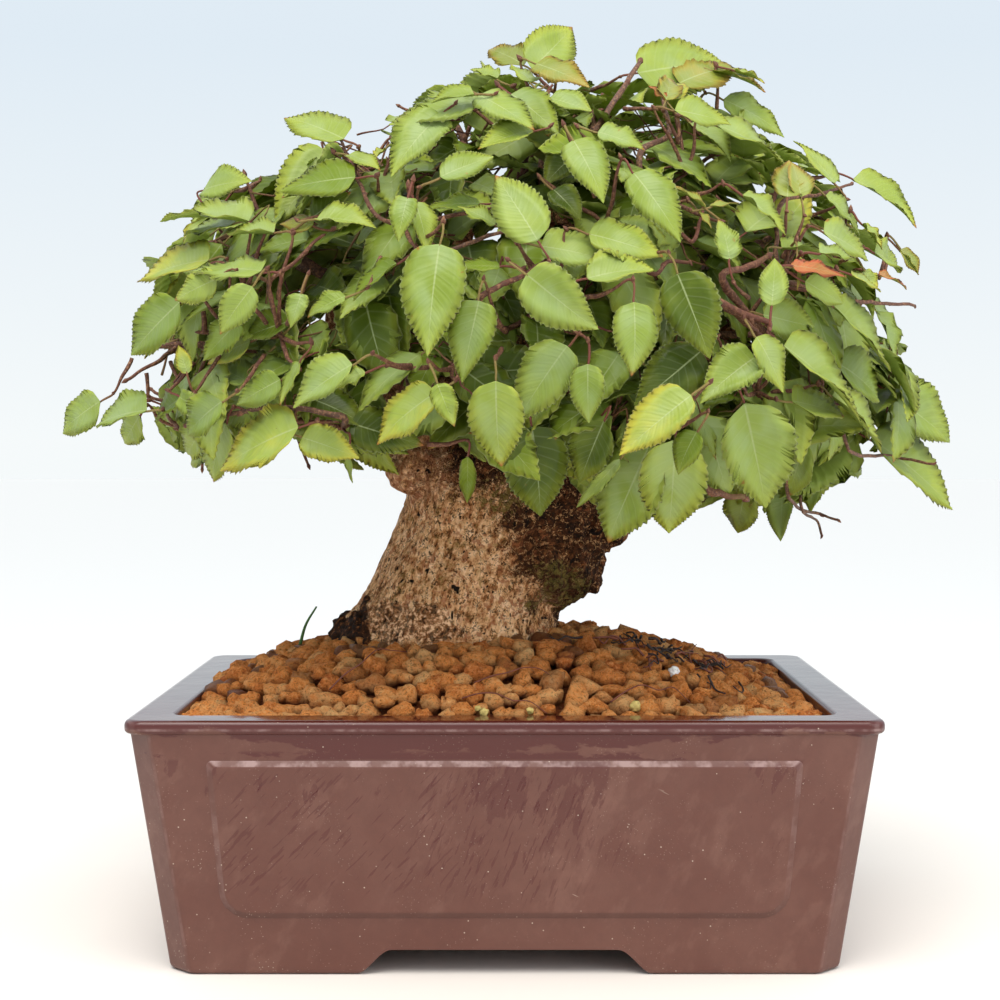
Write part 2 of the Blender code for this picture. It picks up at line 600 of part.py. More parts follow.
def leaf_shape(frame, root, half_width):
    """A toothed blade on its stalk, as (points, faces): roof-shaped above, arched, flat across below."""
    base, along, out, length = frame
    side = along.cross(out).normalized()

    def place(u, v, lift):
        return base + along * (u * length) + side * (v * half_width) + out * (lift - DROOP * length * u * u)

    points = [place(u, 0, RIB_THICK) for u in RIB_STATIONS] + [place(1.0, 0, 0)]
    for s in (1, -1):
        points += [place(u, s * v, 0) for u, v in OUTLINE]
    faces = [(7, 12, 2)]
    for first in (3, 8):
        neck, lobe, tooth, notch, upper = range(first, first + 5)
        faces += [(0, neck, lobe), (0, lobe, 1), (lobe, tooth, 1), (1, tooth, notch),
                  (1, notch, upper), (1, upper, 2)]
    for k in range(4):
        faces += [(3 + k, 4 + k, 9 + k), (3 + k, 9 + k, 8 + k)]
    stalk = (base - root).normalized()
    up = (out - stalk * out.dot(stalk)).normalized()
    across = stalk.cross(up)
    reach = STALK_RADIUS
    points += [root + up * reach, root + across * 0.87 * reach - up * 0.5 * reach,
               root - across * 0.87 * reach - up * 0.5 * reach]
    right, left = (3, 8) if (points[3] - base).dot(across) > 0 else (8, 3)
    faces += [(13, right, 0), (13, 14, right), (14, 15, right), (15, left, right),
              (15, 13, left), (13, 0, left), (13, 15, 14)]
    return points, faces


def near_blade(frame, half_width):
    """Three wider copies of a blade, low, level and high, that mark the clearance it needs."""
    base, along, out, length = frame
    points, faces = [], []
    for lift in (-CLEARANCE, 0.0, CLEARANCE):
        place = base + out * lift
        copy = (place, along, out, length + CLEARANCE)
        more, cells = leaf_shape(copy, place - along * 1.2, half_width + CLEARANCE)
        faces += [tuple(i + len(points) for i in cell) for cell in cells]
        points += more
    return points, faces


def stalk_shape(base, root, grow):
    """The stalk alone, for the clearance test."""
    return tube([root, base], (STALK_RADIUS + 0.1 + grow, NECK_RADIUS + grow), 4)


def on_shell(point, share):
    """The point moved in or out until it lies on a shell of the dome of that share."""
    way = point - CROWN_CENTRE
    level = math.sqrt((way.x / CROWN_X) ** 2 + (way.y / CROWN_Y) ** 2 + (way.z / crown_up(point)) ** 2)
    return CROWN_CENTRE + way * (share / level)


class Crown:
    """Grows twigs and then leaves one by one, each clear of all that stands before it."""

    def __init__(self, branches, places, solids):
        self.walls = [self.tree_of(shape) for shape in solids]
        self.sprays = []
        forks = []
        for (path, _), (end, tip) in zip(branches, places):
            way = (path[-1] - path[-2]).normalized()
            bend = end.lerp(tip, 0.5) + way * 1.5
            stem = [end + way * GAP, bend, tip]
            shape = tube(stem, (BRANCH_END_RADIUS, 1.6, STEM_END_RADIUS), 4, way)
            spray = {"stem": shape, "nodes": self.along(bend, tip), "twigs": [], "leaves": [],
                     "wood": [self.tree_of(shape)], "blades": []}
            self.sprays.append(spray)
            forks.append((spray, bend, tip))
        for number, (spray, bend, tip) in enumerate(forks):
            self.fork(spray, bend, tip, 40.0 * number)

    def fork(self, spray, bend, tip, first):
        """Adds the twigs that leave a stem on alternate sides and run along the shell."""
        out = crown_normal(tip)
        level = out.cross(Vector((0.1, 0, 1))).normalized()
        for k in range(TWIGS):
            turn = Matrix.Rotation(math.radians(first + 360 * k / TWIGS), 3, out)
            end = on_shell(tip + turn @ level * TWIG_REACH, STEM_SHARE + 0.03 * (k % 2))
            start = bend.lerp(tip, 0.1 + 0.6 * k / TWIGS)
            way = (end - start).normalized()
            shape = tube([start, end], (TWIG_RADIUS, TWIG_RADIUS * 0.9), 4)
            test = self.tree_of(tube([start + way * 3.5, end + way * GAP], (TWIG_RADIUS + GAP,) * 2, 4))
            others = [w for other in self.sprays if other is not spray for w in other["wood"]]
            if any(self.meets(test, wall) for wall in self.walls + others):
                continue
            spray["twigs"].append(shape)
            spray["wood"].append(self.tree_of(shape))
            spray["nodes"] += self.along(start + way * 4, end - way * 0.4)

    @staticmethod
    def along(start, end):
        """Places to grow from along a piece of wood, one every NODE_PITCH."""
        count = int((end - start).length / NODE_PITCH)
        return [start.lerp(end, (k + 0.6) / (count + 1)) for k in range(count + 1)]

    @staticmethod
    def tree_of(shape):
        """A shape made ready for overlap tests, with a sphere round it."""
        points, faces = shape
        middle = sum((Vector(p) for p in points), Vector()) / len(points)
        reach = max((Vector(p) - middle).length for p in points)
        return BVHTree.FromPolygons(points, faces), middle, reach

    @staticmethod
    def far(spray, base):
        """How far a leaf's base is from the wood of a spray."""
        return min(((point - base).length for point in spray["nodes"]), default=1000.0)

    @staticmethod
    def meets(a, b):
        """True if two shapes touch."""
        return (a[1] - b[1]).length < a[2] + b[2] and bool(a[0].overlap(b[0]))

    def clear(self, blade, stalk, own, free):
        """True if a blade and its stalk touch nothing but their own spray's wood at the root."""
        for spray in self.sprays:
            for other in spray["blades"]:
                if self.meets(blade, other) or self.meets(stalk, other):
                    return False
            for wood in spray["wood"]:
                if self.meets(blade, wood) or self.meets(free if spray is own else stalk, wood):
                    return False
        return not any(self.meets(blade, w) or self.meets(stalk, w) for w in self.walls)

    def roots(self, spray, base, along):
        """Places on a spray's wood to grow from, the best first."""
        ranked = []
        for point in spray["nodes"]:
            way = base - point
            turn = way.normalized().dot(along)
            if 3.0 < way.length < LONGEST_STALK and turn > LEAST_TURN:
                ranked.append((way.length * (1.5 - 0.5 * turn), len(ranked), point))
        return [point for _, _, point in sorted(ranked)[:4]]

    def add(self, base, tip, roll, width, full):
        """Tries to grow one leaf. Returns True if it stands clear."""
        frame = leaf_frame(base, tip, roll)
        along = frame[1]
        near = sorted(self.sprays, key=lambda s: self.far(s, base))
        blade = self.tree_of(near_blade(frame, width))
        for spray in near[:3]:
            if len(spray["leaves"]) >= full:
                continue
            for root in self.roots(spray, base, along):
                way = (base - root).normalized()
                stalk = self.tree_of(stalk_shape(base - along * 0.3, root, GAP))
                free = self.tree_of(stalk_shape(base - along * 0.3, root + way * 2.0, 0.1))
                if not self.clear(blade, stalk, spray, free):
                    continue
                core = leaf_shape(frame, base - along * 0.8, width)
                spray["leaves"].append(leaf_shape(frame, root - way * 0.1, width))
                spray["blades"].append(self.tree_of(core))
                spray["wood"].append(self.tree_of(stalk_shape(base, root + way * 1.0, 0.0)))
                spray["nodes"] = [p for p in spray["nodes"] if (p - root).length > 0.9 * NODE_PITCH]
                return True
        return False


def grow_leaves(crown):
    """The leaves seen from the front, then the rest by rule: base on the dome, tip down its slope."""
    draw = random.Random(SEED)
    seen = []
    for x0, y0, x1, y1, roll, rise in SEEN_LEAVES:
        seen.append(((x0, y0, x1, y1), roll if x1 > x0 else -roll, rise))
    seen.sort(key=lambda s: -math.dist(s[0][:2], s[0][2:]))
    for picture, roll, rise in seen:
        wide = LEAF_HALF_WIDTH + draw.uniform(-0.03, 0.03)
        for push, turn in SEEN_TRIES:
            base, tip = sight_line(picture, rise, push)
            length = max(SHORTEST_LEAF, min(LONGEST_LEAF, (tip - base).length))
            tip = base + (tip - base).normalized() * length
            if crown.add(base, tip, roll + turn, length * wide, 99):
                break
    placed, tries = 0, 0
    while placed < LEAVES_BY_RULE and tries < 12000:
        tries += 1
        turn = 137.508 * tries + draw.uniform(-12, 12)
        lift = math.degrees(math.asin(draw.uniform(-0.55, 1.0)))
        share = draw.choice((0.98, 0.92, 0.86)) - (0.1 if tries > 1500 else 0.0)
        base = crown_point(turn, lift, share)
        out = crown_normal(base)
        down = Vector((0, 0, -1)) + Vector((out.x, out.y, 0)) * 0.9
        slope = (down - out * down.dot(out)).normalized()
        slope = Matrix.Rotation(math.radians(draw.gauss(0, 38)), 3, out) @ slope
        length = LEAF_LENGTH + draw.uniform(-1, 1) * LEAF_SPREAD
        tip = base + (slope + out * draw.uniform(-0.15, 0.45)).normalized() * length
        width = length * (LEAF_HALF_WIDTH + draw.uniform(-0.03, 0.03))
        full = 4 + LEAVES_PER_SPRAY * placed // LEAVES_BY_RULE + tries // 1000
        placed += crown.add(base, tip, draw.gauss(0, 18), width, full)


def make_sprays(crown, finish):
    """One solid for each spray: its stem joined with its leaves."""
    for number, spray in enumerate(crown.sprays, 1):
        made = make_object(f"leafy_spray_{number:02d}", spray["stem"], finish)
        grown = spray["twigs"] + spray["leaves"]
        combine(made, [make_object("leaf", shape) for shape in grown], "UNION")


def main():
    clear_scene()
    stoneware = surface("stoneware", (0.17, 0.075, 0.062), 0.45)
    clay = surface("clay_granules", (0.42, 0.20, 0.085), 0.95)
    wood = surface("bark", (0.33, 0.23, 0.15), 0.85)
    leaf = surface("leaf", (0.12, 0.26, 0.035), 0.45)
    net = surface("net", (0.03, 0.03, 0.03), 0.6)
    make_pot(stoneware)
    for name, x in (("screen_left", -DRAIN_X), ("screen_right", DRAIN_X)):
        make_screen(name, x, net)
    make_soil(clay)
    places = spray_places()
    branches = side_branches(places)
    make_tree(wood, branches)
    mains = [tube([Vector(p[:3]) for p in points], [p[3] + GAP for p in points], 7)
             for points in MAIN_BRANCHES.values()]
    sides = [tube(path, [r + GAP for r in radii], 4) for path, radii in branches]
    crown = Crown(branches, places, [trunk_shape(GAP), burl_shape(), *mains, *sides])
    grow_leaves(crown)
    make_sprays(crown, leaf)


main()
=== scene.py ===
"""The dressed Korean hornbeam bonsai: finishes, leaves, bark, clay granules and studio.

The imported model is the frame, and every piece stands where its CAD nodes stand. Sizes are in
millimetres and become metres as each mesh is made. +Z is up and the front faces -Y.
"""

import logging
import math
import random
from dataclasses import dataclass, field
from enum import Enum
from functools import cached_property
from typing import Any, Iterable, Optional, Sequence, Union

import bmesh
import bpy
import numpy as np
from mathutils import Matrix, Vector
from mathutils.bvhtree import BVHTree


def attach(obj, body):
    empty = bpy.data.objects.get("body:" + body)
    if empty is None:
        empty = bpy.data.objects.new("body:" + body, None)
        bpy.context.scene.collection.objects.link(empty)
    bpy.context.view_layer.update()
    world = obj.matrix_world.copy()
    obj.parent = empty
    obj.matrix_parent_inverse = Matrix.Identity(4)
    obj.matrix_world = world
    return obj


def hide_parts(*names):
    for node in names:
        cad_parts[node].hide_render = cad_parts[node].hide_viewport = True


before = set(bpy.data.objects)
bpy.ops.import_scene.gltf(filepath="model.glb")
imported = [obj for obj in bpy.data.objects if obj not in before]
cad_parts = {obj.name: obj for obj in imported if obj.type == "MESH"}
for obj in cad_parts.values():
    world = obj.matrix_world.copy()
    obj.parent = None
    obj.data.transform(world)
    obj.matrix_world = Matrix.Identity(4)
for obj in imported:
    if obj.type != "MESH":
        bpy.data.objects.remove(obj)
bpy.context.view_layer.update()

LOG = logging.getLogger("bonsai")
BODY = "root"
MM = 0.001
GAP = 0.3
SEED = 12
GOLDEN_TURN = 137.508
FULL_TURN = 2 * math.pi

Colour = tuple[float, float, float]
Point = Sequence[float]
Shape = tuple[list, list]
Oval = tuple[tuple[float, float], tuple[float, float]]
Array = np.ndarray
Chance = random.Random
Material = bpy.types.Material
Thing = bpy.types.Object


# Shader helpers


class Wire:
    """A value, colour or vector on its way between shader nodes, with plain arithmetic."""

    def __init__(self, board: "Board", socket: bpy.types.NodeSocket) -> None:
        """Wraps one output socket of a node on a board."""
        self.board = board
        self.socket = socket

    def maths(self, operation: str, *others: "Number", flipped: bool = False) -> "Wire":
        """Adds one Math node.

        Args:
            operation: the node's operation.
            others: the other values it reads.
            flipped: True puts this wire last.

        Returns:
            The node's result.
        """
        values = [*others, self] if flipped else [self, *others]
        return self.board.add("ShaderNodeMath", {"operation": operation}, dict(enumerate(values)))

    def __add__(self, other: "Number") -> "Wire":
        """self + other."""
        return self.maths("ADD", other)

    __radd__ = __add__

    def __sub__(self, other: "Number") -> "Wire":
        """self - other."""
        return self.maths("SUBTRACT", other)

    def __rsub__(self, other: "Number") -> "Wire":
        """other - self."""
        return self.maths("SUBTRACT", other, flipped=True)

    def __mul__(self, other: "Number") -> "Wire":
        """self * other."""
        return self.maths("MULTIPLY", other)

    __rmul__ = __mul__

    def absolute(self) -> "Wire":
        """The value without its sign."""
        return self.maths("ABSOLUTE")

    def fraction(self) -> "Wire":
        """The value's part after the point."""
        return self.maths("FRACT")

    def highest(self, other: "Number") -> "Wire":
        """The larger of two values."""
        return self.maths("MAXIMUM", other)

    def rise(self, low: float, high: float) -> "Wire":
        """A smooth step from 0 at low to 1 at high."""
        return self.board.add("ShaderNodeMapRange", {"interpolation_type": "SMOOTHSTEP"},
                              {0: self, 1: low, 2: high})

    def fall(self, low: float, high: float) -> "Wire":
        """A smooth step from 1 at low to 0 at high."""
        return 1 - self.rise(low, high)


Number = Union[float, Wire]
Paint = Union[Colour, Wire]


class Board:
    """The nodes of one material or world."""

    def __init__(self, owner: Union[Material, bpy.types.World]) -> None:
        """Starts with no nodes in a new material or world.

        Args:
            owner: a new material or world.
        """
        self.owner = owner
        owner.use_nodes = True
        self.tree = owner.node_tree
        self.tree.nodes.clear()

    @classmethod
    def of(cls, name: str) -> "Board":
        """The board of a new material of that name."""
        return cls(bpy.data.materials.new(name))

    @cached_property
    def place(self) -> Wire:
        """The piece's own coordinates."""
        return self.add("ShaderNodeTexCoord", output="Object")

    def add(self, kind: str, settings: Optional[dict[str, Any]] = None,
            sockets: Optional[dict[Any, Any]] = None, output: Union[int, str] = 0) -> Wire:
        """Adds one node.

        Args:
            kind: the node's type.
            settings: its own properties, which are set first; "stops" fills a colour ramp.
            sockets: values or wires for its inputs, by name or number.
            output: the output that is wanted.

        Returns:
            The wire that leaves that output.
        """
        node = self.tree.nodes.new(kind)
        for name, value in (settings or {}).items():
            if name == "stops":
                self.fill_ramp(node, value)
            else:
                setattr(node, name, value)
        for key, value in (sockets or {}).items():
            if isinstance(value, Wire):
                self.tree.links.new(value.socket, node.inputs[key])
            else:
                node.inputs[key].default_value = value
        return Wire(self, node.outputs[output])

    @staticmethod
    def fill_ramp(node: bpy.types.Node, stops: Sequence[tuple[float, Colour]]) -> None:
        """Sets a colour ramp's stops.

        Args:
            node: the Color Ramp node.
            stops: (position, colour) of each stop, from left to right.
        """
        elements = node.color_ramp.elements
        while len(elements) < len(stops):
            elements.new(0.5)
        for element, (position, colour) in zip(elements, stops):
            element.position = position
            element.color = (*colour, 1.0)

    def ramp(self, value: Wire, *stops: tuple[float, Colour]) -> Wire:
        """A colour picked by a value from stops of (position, colour)."""
        return self.add("ShaderNodeValToRGB", {"stops": stops}, {0: value})

    def mix(self, share: Number, first: Paint, second: Paint, blend: str = "MIX") -> Wire:
        """Mixes two colours.

        Args:
            share: how much of the second colour, 0 to 1.
            first: the colour at 0.
            second: the colour at 1.
            blend: the Mix node's blend type.

        Returns:
            The mixed colour.
        """
        first, second = (c if isinstance(c, Wire) else (*c, 1.0) for c in (first, second))
        settings = {"data_type": "RGBA", "blend_type": blend, "clamp_factor": True}
        return self.add("ShaderNodeMix", settings, {0: share, 6: first, 7: second}, 2)

    def coats(self, colour: Paint, *coats: tuple[Number, Paint]) -> Wire:
        """Mixes further colours over one, in order.

        Args:
            colour: the colour underneath.
            coats: (share, colour) of each.

        Returns:
            The colour on top.
        """
        for share, coat in coats:
            colour = self.mix(share, colour, coat)
        return colour

    def noise(self, size: float, detail: float = 2.0, rough: float = 0.5,
              place: Optional[Wire] = None) -> Wire:
        """Soft noise from 0 to 1.

        Args:
            size: the width of its features in mm.
            detail: its octaves.
            rough: how strong the fine octaves are.
            place: the coordinates, or None for the piece's own.

        Returns:
            The noise.
        """
        sockets = {"Vector": place or self.place, "Scale": 1 / (size * MM), "Detail": detail,
                   "Roughness": rough}
        return self.add("ShaderNodeTexNoise", sockets=sockets)

    def cells(self, size: float) -> Wire:
        """The distance to the middle of the nearest of many cells of that size in mm."""
        return self.add("ShaderNodeTexVoronoi", {}, {"Vector": self.place, "Scale": 1 / (size * MM)})

    def stretched(self, x: float, z: float, turn: float = 0.0) -> Wire:
        """The piece's coordinates scaled along X and Z, after a turn in degrees about Y.

        Args:
            x: the scale along X.
            z: the scale along Z.
            turn: the turn in degrees.

        Returns:
            The coordinates.
        """
        turned = self.add("ShaderNodeVectorRotate", {"rotation_type": "Y_AXIS"},
                          {"Vector": self.place, "Angle": math.radians(turn)})
        return self.add("ShaderNodeVectorMath", {"operation": "MULTIPLY"}, {0: turned, 1: (x, 1.0, z)})

    def split(self, vector: Wire) -> tuple[Wire, Wire, Wire]:
        """A vector's three numbers."""
        first = self.add("ShaderNodeSeparateXYZ", sockets={0: vector})
        return first, *(Wire(self, first.socket.node.outputs[k]) for k in (1, 2))

    def carried(self, name: str) -> tuple[Wire, Wire, Wire]:
        """The three numbers that each point of the mesh carries under a name."""
        return self.split(self.add("ShaderNodeAttribute", {"attribute_name": name}, output="Vector"))

    def bump(self, height: Wire, depth: float, strength: float = 1.0) -> Wire:
        """A normal bumped by a relief of 0 to 1, where 1 stands for depth mm."""
        return self.add("ShaderNodeBump",
                        sockets={"Height": height, "Distance": depth * MM, "Strength": strength})

    def surface(self, **sockets: Any) -> Wire:
        """The Principled shader, with a socket for each name, _ standing for a space."""
        named = {key.replace("_", " "): value for key, value in sockets.items()}
        return self.add("ShaderNodeBsdfPrincipled", sockets=named)

    def done(self, shader: Wire, kind: str = "ShaderNodeOutputMaterial") -> Any:
        """Ends the nodes in that shader and gives back the material or world."""
        self.tree.links.new(shader.socket, self.tree.nodes.new(kind).inputs["Surface"])
        return self.owner

    def finish(self, **sockets: Any) -> Material:
        """Ends the material in a Principled shader."""
        return self.done(self.surface(**sockets))


# Finishes


@dataclass(frozen=True)
class LeafFinish:
    """Hornbeam leaf: paired veins, pale underside, yellow margins, bronze on new growth, and a painted sheen.
    """

    deep: Colour = (0.048, 0.076, 0.006)
    middle: Colour = (0.160, 0.234, 0.014)
    fresh: Colour = (0.290, 0.380, 0.078)
    lime: Colour = (0.480, 0.525, 0.065)
    gold: Colour = (0.760, 0.580, 0.080)
    # painted sheen: the sky's cool grey-green reflection, painted on the middle of the lighter leaves
    painted_sheen: Colour = (0.340, 0.445, 0.200)
    bronze: Colour = (0.560, 0.130, 0.062)
    pale: Colour = (0.260, 0.330, 0.070)
    vein: Colour = (0.500, 0.570, 0.260)
    rust: Colour = (0.290, 0.070, 0.028)
    scorched: Colour = (0.380, 0.120, 0.035)
    glow: Colour = (0.460, 0.560, 0.020)
    glow_share: float = 0.22

    def make(self) -> Material:
        """Builds the material, which reads blade, tone and cast from the mesh.

        Returns:
            The material.
        """
        board = Board.of("leaf_blade")
        along, across, vein = board.carried("blade")
        yellow, bronze, chance = board.carried("tone")
        under, dark, tip_burn = board.carried("cast")
        edge = across.absolute()
        blotch, speck = board.noise(7.0, 3.0), board.noise(0.9)
        green = board.ramp(chance * 0.85 + blotch * 0.40 - 0.15,
                           (0.0, self.deep), (0.42, self.middle), (0.90, self.fresh))
        # Painted sheen: a cool grey-green reflection laid on the middle of the lighter leaves.
        painted_sheen = board.noise(9.0).rise(0.38, 0.62) * edge.fall(0.25, 0.95) * chance.rise(0.2, 0.8)
        margin = edge.rise(0.60, 1.0) * 0.8 + along.rise(0.50, 1.0) * 0.6
        margin = (margin + (blotch - 0.5) * 1.4).highest(0.0)
        tinge = bronze * (0.15 + margin * 0.75) + bronze.rise(0.6, 1.0) * (0.25 + blotch * 0.5)
        spacing = (vein.fraction() - 0.5).absolute()
        lines = spacing.fall(0.02, 0.11) * edge.fall(0.70, 1.0)
        rib = edge.fall(0.014, 0.044) * along.fall(0.70, 1.15)
        rim = edge.rise(0.93, 1.0)
        rusty = rim * (yellow * 0.25 + bronze * 0.5 + blotch.rise(0.58, 0.68) * 0.30)
        scorch = board.noise(2.6, 3.0, 0.6).rise(0.70, 0.75) * edge.rise(0.30, 0.9)
        colour = board.coats(
            green, (painted_sheen * 0.60, self.painted_sheen), (dark, self.deep),
            (yellow * (0.30 + margin * 0.75) + margin * 0.34, self.lime),
            (yellow.rise(0.60, 1.0) * margin * 0.65, self.gold), (tinge, self.bronze),
            (lines * 0.11 + rib * 0.50, self.vein), (speck.rise(0.70, 0.80) * 0.25, self.deep),
            (rim * 0.45, self.vein), (rusty, self.rust),
            (along.rise(0.90, 1.0) * tip_burn + scorch * 0.7, self.scorched), (under * 0.72, self.pale))
        ridges = spacing.rise(0.0, 0.35) + board.noise(0.5) * 0.35
        shader = board.surface(Base_Color=colour, Roughness=0.28 + blotch * 0.18 + under * 0.25,
                               Normal=board.bump(ridges, 0.13, 0.7), Specular_IOR_Level=0.24)
        glow = board.add("ShaderNodeBsdfTranslucent", sockets={"Color": (*self.glow, 1.0)})
        return board.done(board.add("ShaderNodeMixShader", sockets={0: self.glow_share, 1: shader, 2: glow}))


@dataclass(frozen=True)
class ShootFinish:
    """Leaf stalks, red young shoots and grey-brown twigs, told apart by the age they carry, with painted
    light and shade on the grain.
    """

    stalk: Colour = (0.210, 0.150, 0.034)
    young: Colour = (0.150, 0.036, 0.017)
    brown: Colour = (0.120, 0.036, 0.017)
    old: Colour = (0.100, 0.044, 0.024)
    # The next two colours are painted light on the high grain and painted shade in the low grain.
    raised: Colour = (0.380, 0.190, 0.090)
    sunk: Colour = (0.040, 0.016, 0.010)
    pore: Colour = (0.42, 0.28, 0.17)

    def make(self) -> Material:
        """Builds the material, which reads growth from the mesh.

        Returns:
            The material.
        """
        board = Board.of("shoot_bark")
        age, chance, _ = board.carried("growth")
        grain = board.noise(0.9, 4.0, 0.7)
        colour = board.coats(
            self.stalk, (chance.rise(0.25, 0.75), self.young), (age.rise(0.4, 1.0), self.brown),
            (age.rise(1.1, 1.9), self.old),
            # Lighter on the high grain and darker in the low grain: painted light and shade on the bark's
            # relief.
            (grain.rise(0.48, 0.62) * age.rise(0.4, 1.2) * 0.6, self.raised),
            (grain.fall(0.30, 0.44) * age.rise(0.4, 1.2) * 0.8, self.sunk),
            (board.cells(1.1).fall(0.14, 0.22) * age.rise(0.8, 1.4) * 0.5, self.pore))
        return board.finish(Base_Color=colour, Roughness=0.5 + grain * 0.3,
                            Normal=board.bump(grain, 0.55, 0.9))


@dataclass(frozen=True)
class BarkFinish:
    """Trunk bark: pale and finely ridged on the left, dark and knotted on the right, with moss."""

    bright: Colour = (0.990, 0.660, 0.390)
    pale: Colour = (0.730, 0.400, 0.180)
    tan: Colour = (0.360, 0.135, 0.045)
    dusk: Colour = (0.064, 0.021, 0.006)
    black: Colour = (0.014, 0.008, 0.005)
    rust: Colour = (0.350, 0.110, 0.042)
    earth: Colour = (0.155, 0.054, 0.018)
    pink: Colour = (0.270, 0.105, 0.052)
    moss: Colour = (0.190, 0.150, 0.034)
    slant: float = -18.0

    def make(self) -> Material:
        """Builds the material, which reads bark (dark, moss, pit) and limb (limb, char, crust).

        Returns:
            The material.
        """
        board = Board.of("trunk_bark")
        dark, moss, pit = board.carried("bark")
        limb, char, crust = board.carried("limb")
        fibre = board.noise(1.3, 6.0, 0.70, board.stretched(1.0, 0.50, self.slant))
        blotch = board.noise(6.0, 4.0, 0.62)
        crumb = board.noise(1.3, 4.0, 0.66)
        curl = (board.noise(2.4, 3.0, 0.6) - 0.5).absolute()
        red = board.noise(2.0, 3.0, 0.6, board.stretched(1.0, 0.8, 24.0))
        fleck = board.noise(1.7, 4.0, 0.66, board.stretched(1.0, 0.75, self.slant))
        fine = board.noise(0.7, place=board.stretched(1.0, 0.6, 10.0))
        smooth = board.ramp(fibre * 0.75 + blotch * 0.45 - 0.10,
                            (0.33, self.dusk), (0.42, self.tan), (0.50, self.pale), (0.62, self.bright))
        knotted = board.ramp(crumb * 0.75 + blotch * 0.35 - 0.05,
                             (0.36, self.black), (0.50, self.dusk), (0.62, self.earth), (0.78, self.tan))
        gnarled = board.coats(
            knotted, (fleck.rise(0.52, 0.60) * blotch.rise(0.44, 0.54) * 0.55, self.tan),
            (curl.fall(0.008, 0.036) * crumb.rise(0.44, 0.56) * 0.8, self.pale),
            (blotch.rise(0.54, 0.62) * crumb.rise(0.50, 0.60) * 0.5, self.rust))
        ragged = dark + (crumb - 0.5) * 1.6 + (fleck - 0.5) * 1.4
        grown = (moss + (crumb - 0.5) * 1.6 + (blotch - 0.5) * 1.2).rise(0.55, 0.80)
        flaky = board.ramp(crumb, (0.42, self.black), (0.52, self.tan), (0.60, self.bright))
        charred = board.ramp(crumb, (0.42, self.black), (0.58, self.dusk), (0.68, self.tan))
        colour = board.coats(
            smooth, (red.rise(0.52, 0.60) * blotch.rise(0.42, 0.54) * 0.80, self.rust),
            (blotch.fall(0.36, 0.46) * crumb.rise(0.36, 0.56) * 0.45, self.moss),
            (curl.fall(0.008, 0.026) * red.fall(0.46, 0.56) * 0.8, self.dusk),
            (fleck.rise(0.59, 0.63) * 0.9, self.dusk), (fine.rise(0.61, 0.66) * 0.75, self.black),
            (ragged.rise(0.34, 0.64), gnarled), (limb * crumb.rise(0.38, 0.56) * 0.75, self.pink),
            ((pit + (crumb - 0.5) * 0.5).rise(0.40, 0.65), self.black),
            (grown * 0.70, board.mix(fleck.rise(0.44, 0.54), self.dusk, self.moss)),
            ((crust + (fleck - 0.5) * 2.0).rise(0.50, 0.72) * 0.8, flaky),
            ((char + (crumb - 0.5) * 1.2).rise(0.40, 0.62), charred))
        relief = fibre * (1 - dark) * 0.9 + crumb * (0.35 + dark) + curl.rise(0.0, 0.1) * dark
        return board.finish(Base_Color=colour, Roughness=0.70 + fibre * 0.25,
                            Normal=board.bump(relief, 1.1), Specular_IOR_Level=0.15)


@dataclass(frozen=True)
class ClayFinish:
    """Baked clay granules, each with its own shade, darker where they are damp, with painted shade low on
    each granule and painted light and shade on the pores.
    """

    shadow: Colour = (0.110, 0.022, 0.004)
    brown: Colour = (0.640, 0.160, 0.032)
    ochre: Colour = (1.000, 0.350, 0.082)
    buff: Colour = (1.000, 0.570, 0.230)
    soaked: Colour = (0.090, 0.026, 0.010)

    def make(self) -> Material:
        """Builds the material, which reads grain (shade, damp, depth) from the mesh; depth lays painted shade
        on each granule's lower part.

        Returns:
            The material.
        """
        board = Board.of("clay_granules")
        shade, damp, depth = board.carried("grain")
        blotch = board.noise(2.6, 5.0, 0.65)
        pore = board.noise(0.9, 5.0, 0.75)
        crumbly = board.noise(0.45, 3.0, 0.7)
        colour = board.coats(
            board.ramp(shade * 0.75 + (blotch - 0.5) * 0.9 + 0.12,
                       (0.0, self.shadow), (0.28, self.brown), (0.60, self.ochre), (1.0, self.buff)),
            # Lighter where the pores' relief stands up and darker in the pores and crumbs: painted light and
            # shade.
            (pore.rise(0.52, 0.62) * 0.45, self.buff),
            (pore.fall(0.36, 0.50) * 0.50 + crumbly.fall(0.32, 0.44) * 0.15, self.shadow),
            # depth: painted shade towards the bottom of each granule.
            (depth * 0.90, self.shadow), (damp * 0.75, self.soaked))
        return board.finish(Base_Color=colour, Roughness=0.95 - damp * 0.45,
                            Normal=board.bump(pore + blotch * 0.6 + crumbly * 0.5, 1.5),
                            Specular_IOR_Level=0.2, Coat_Weight=damp * 0.15, Coat_Roughness=0.3)


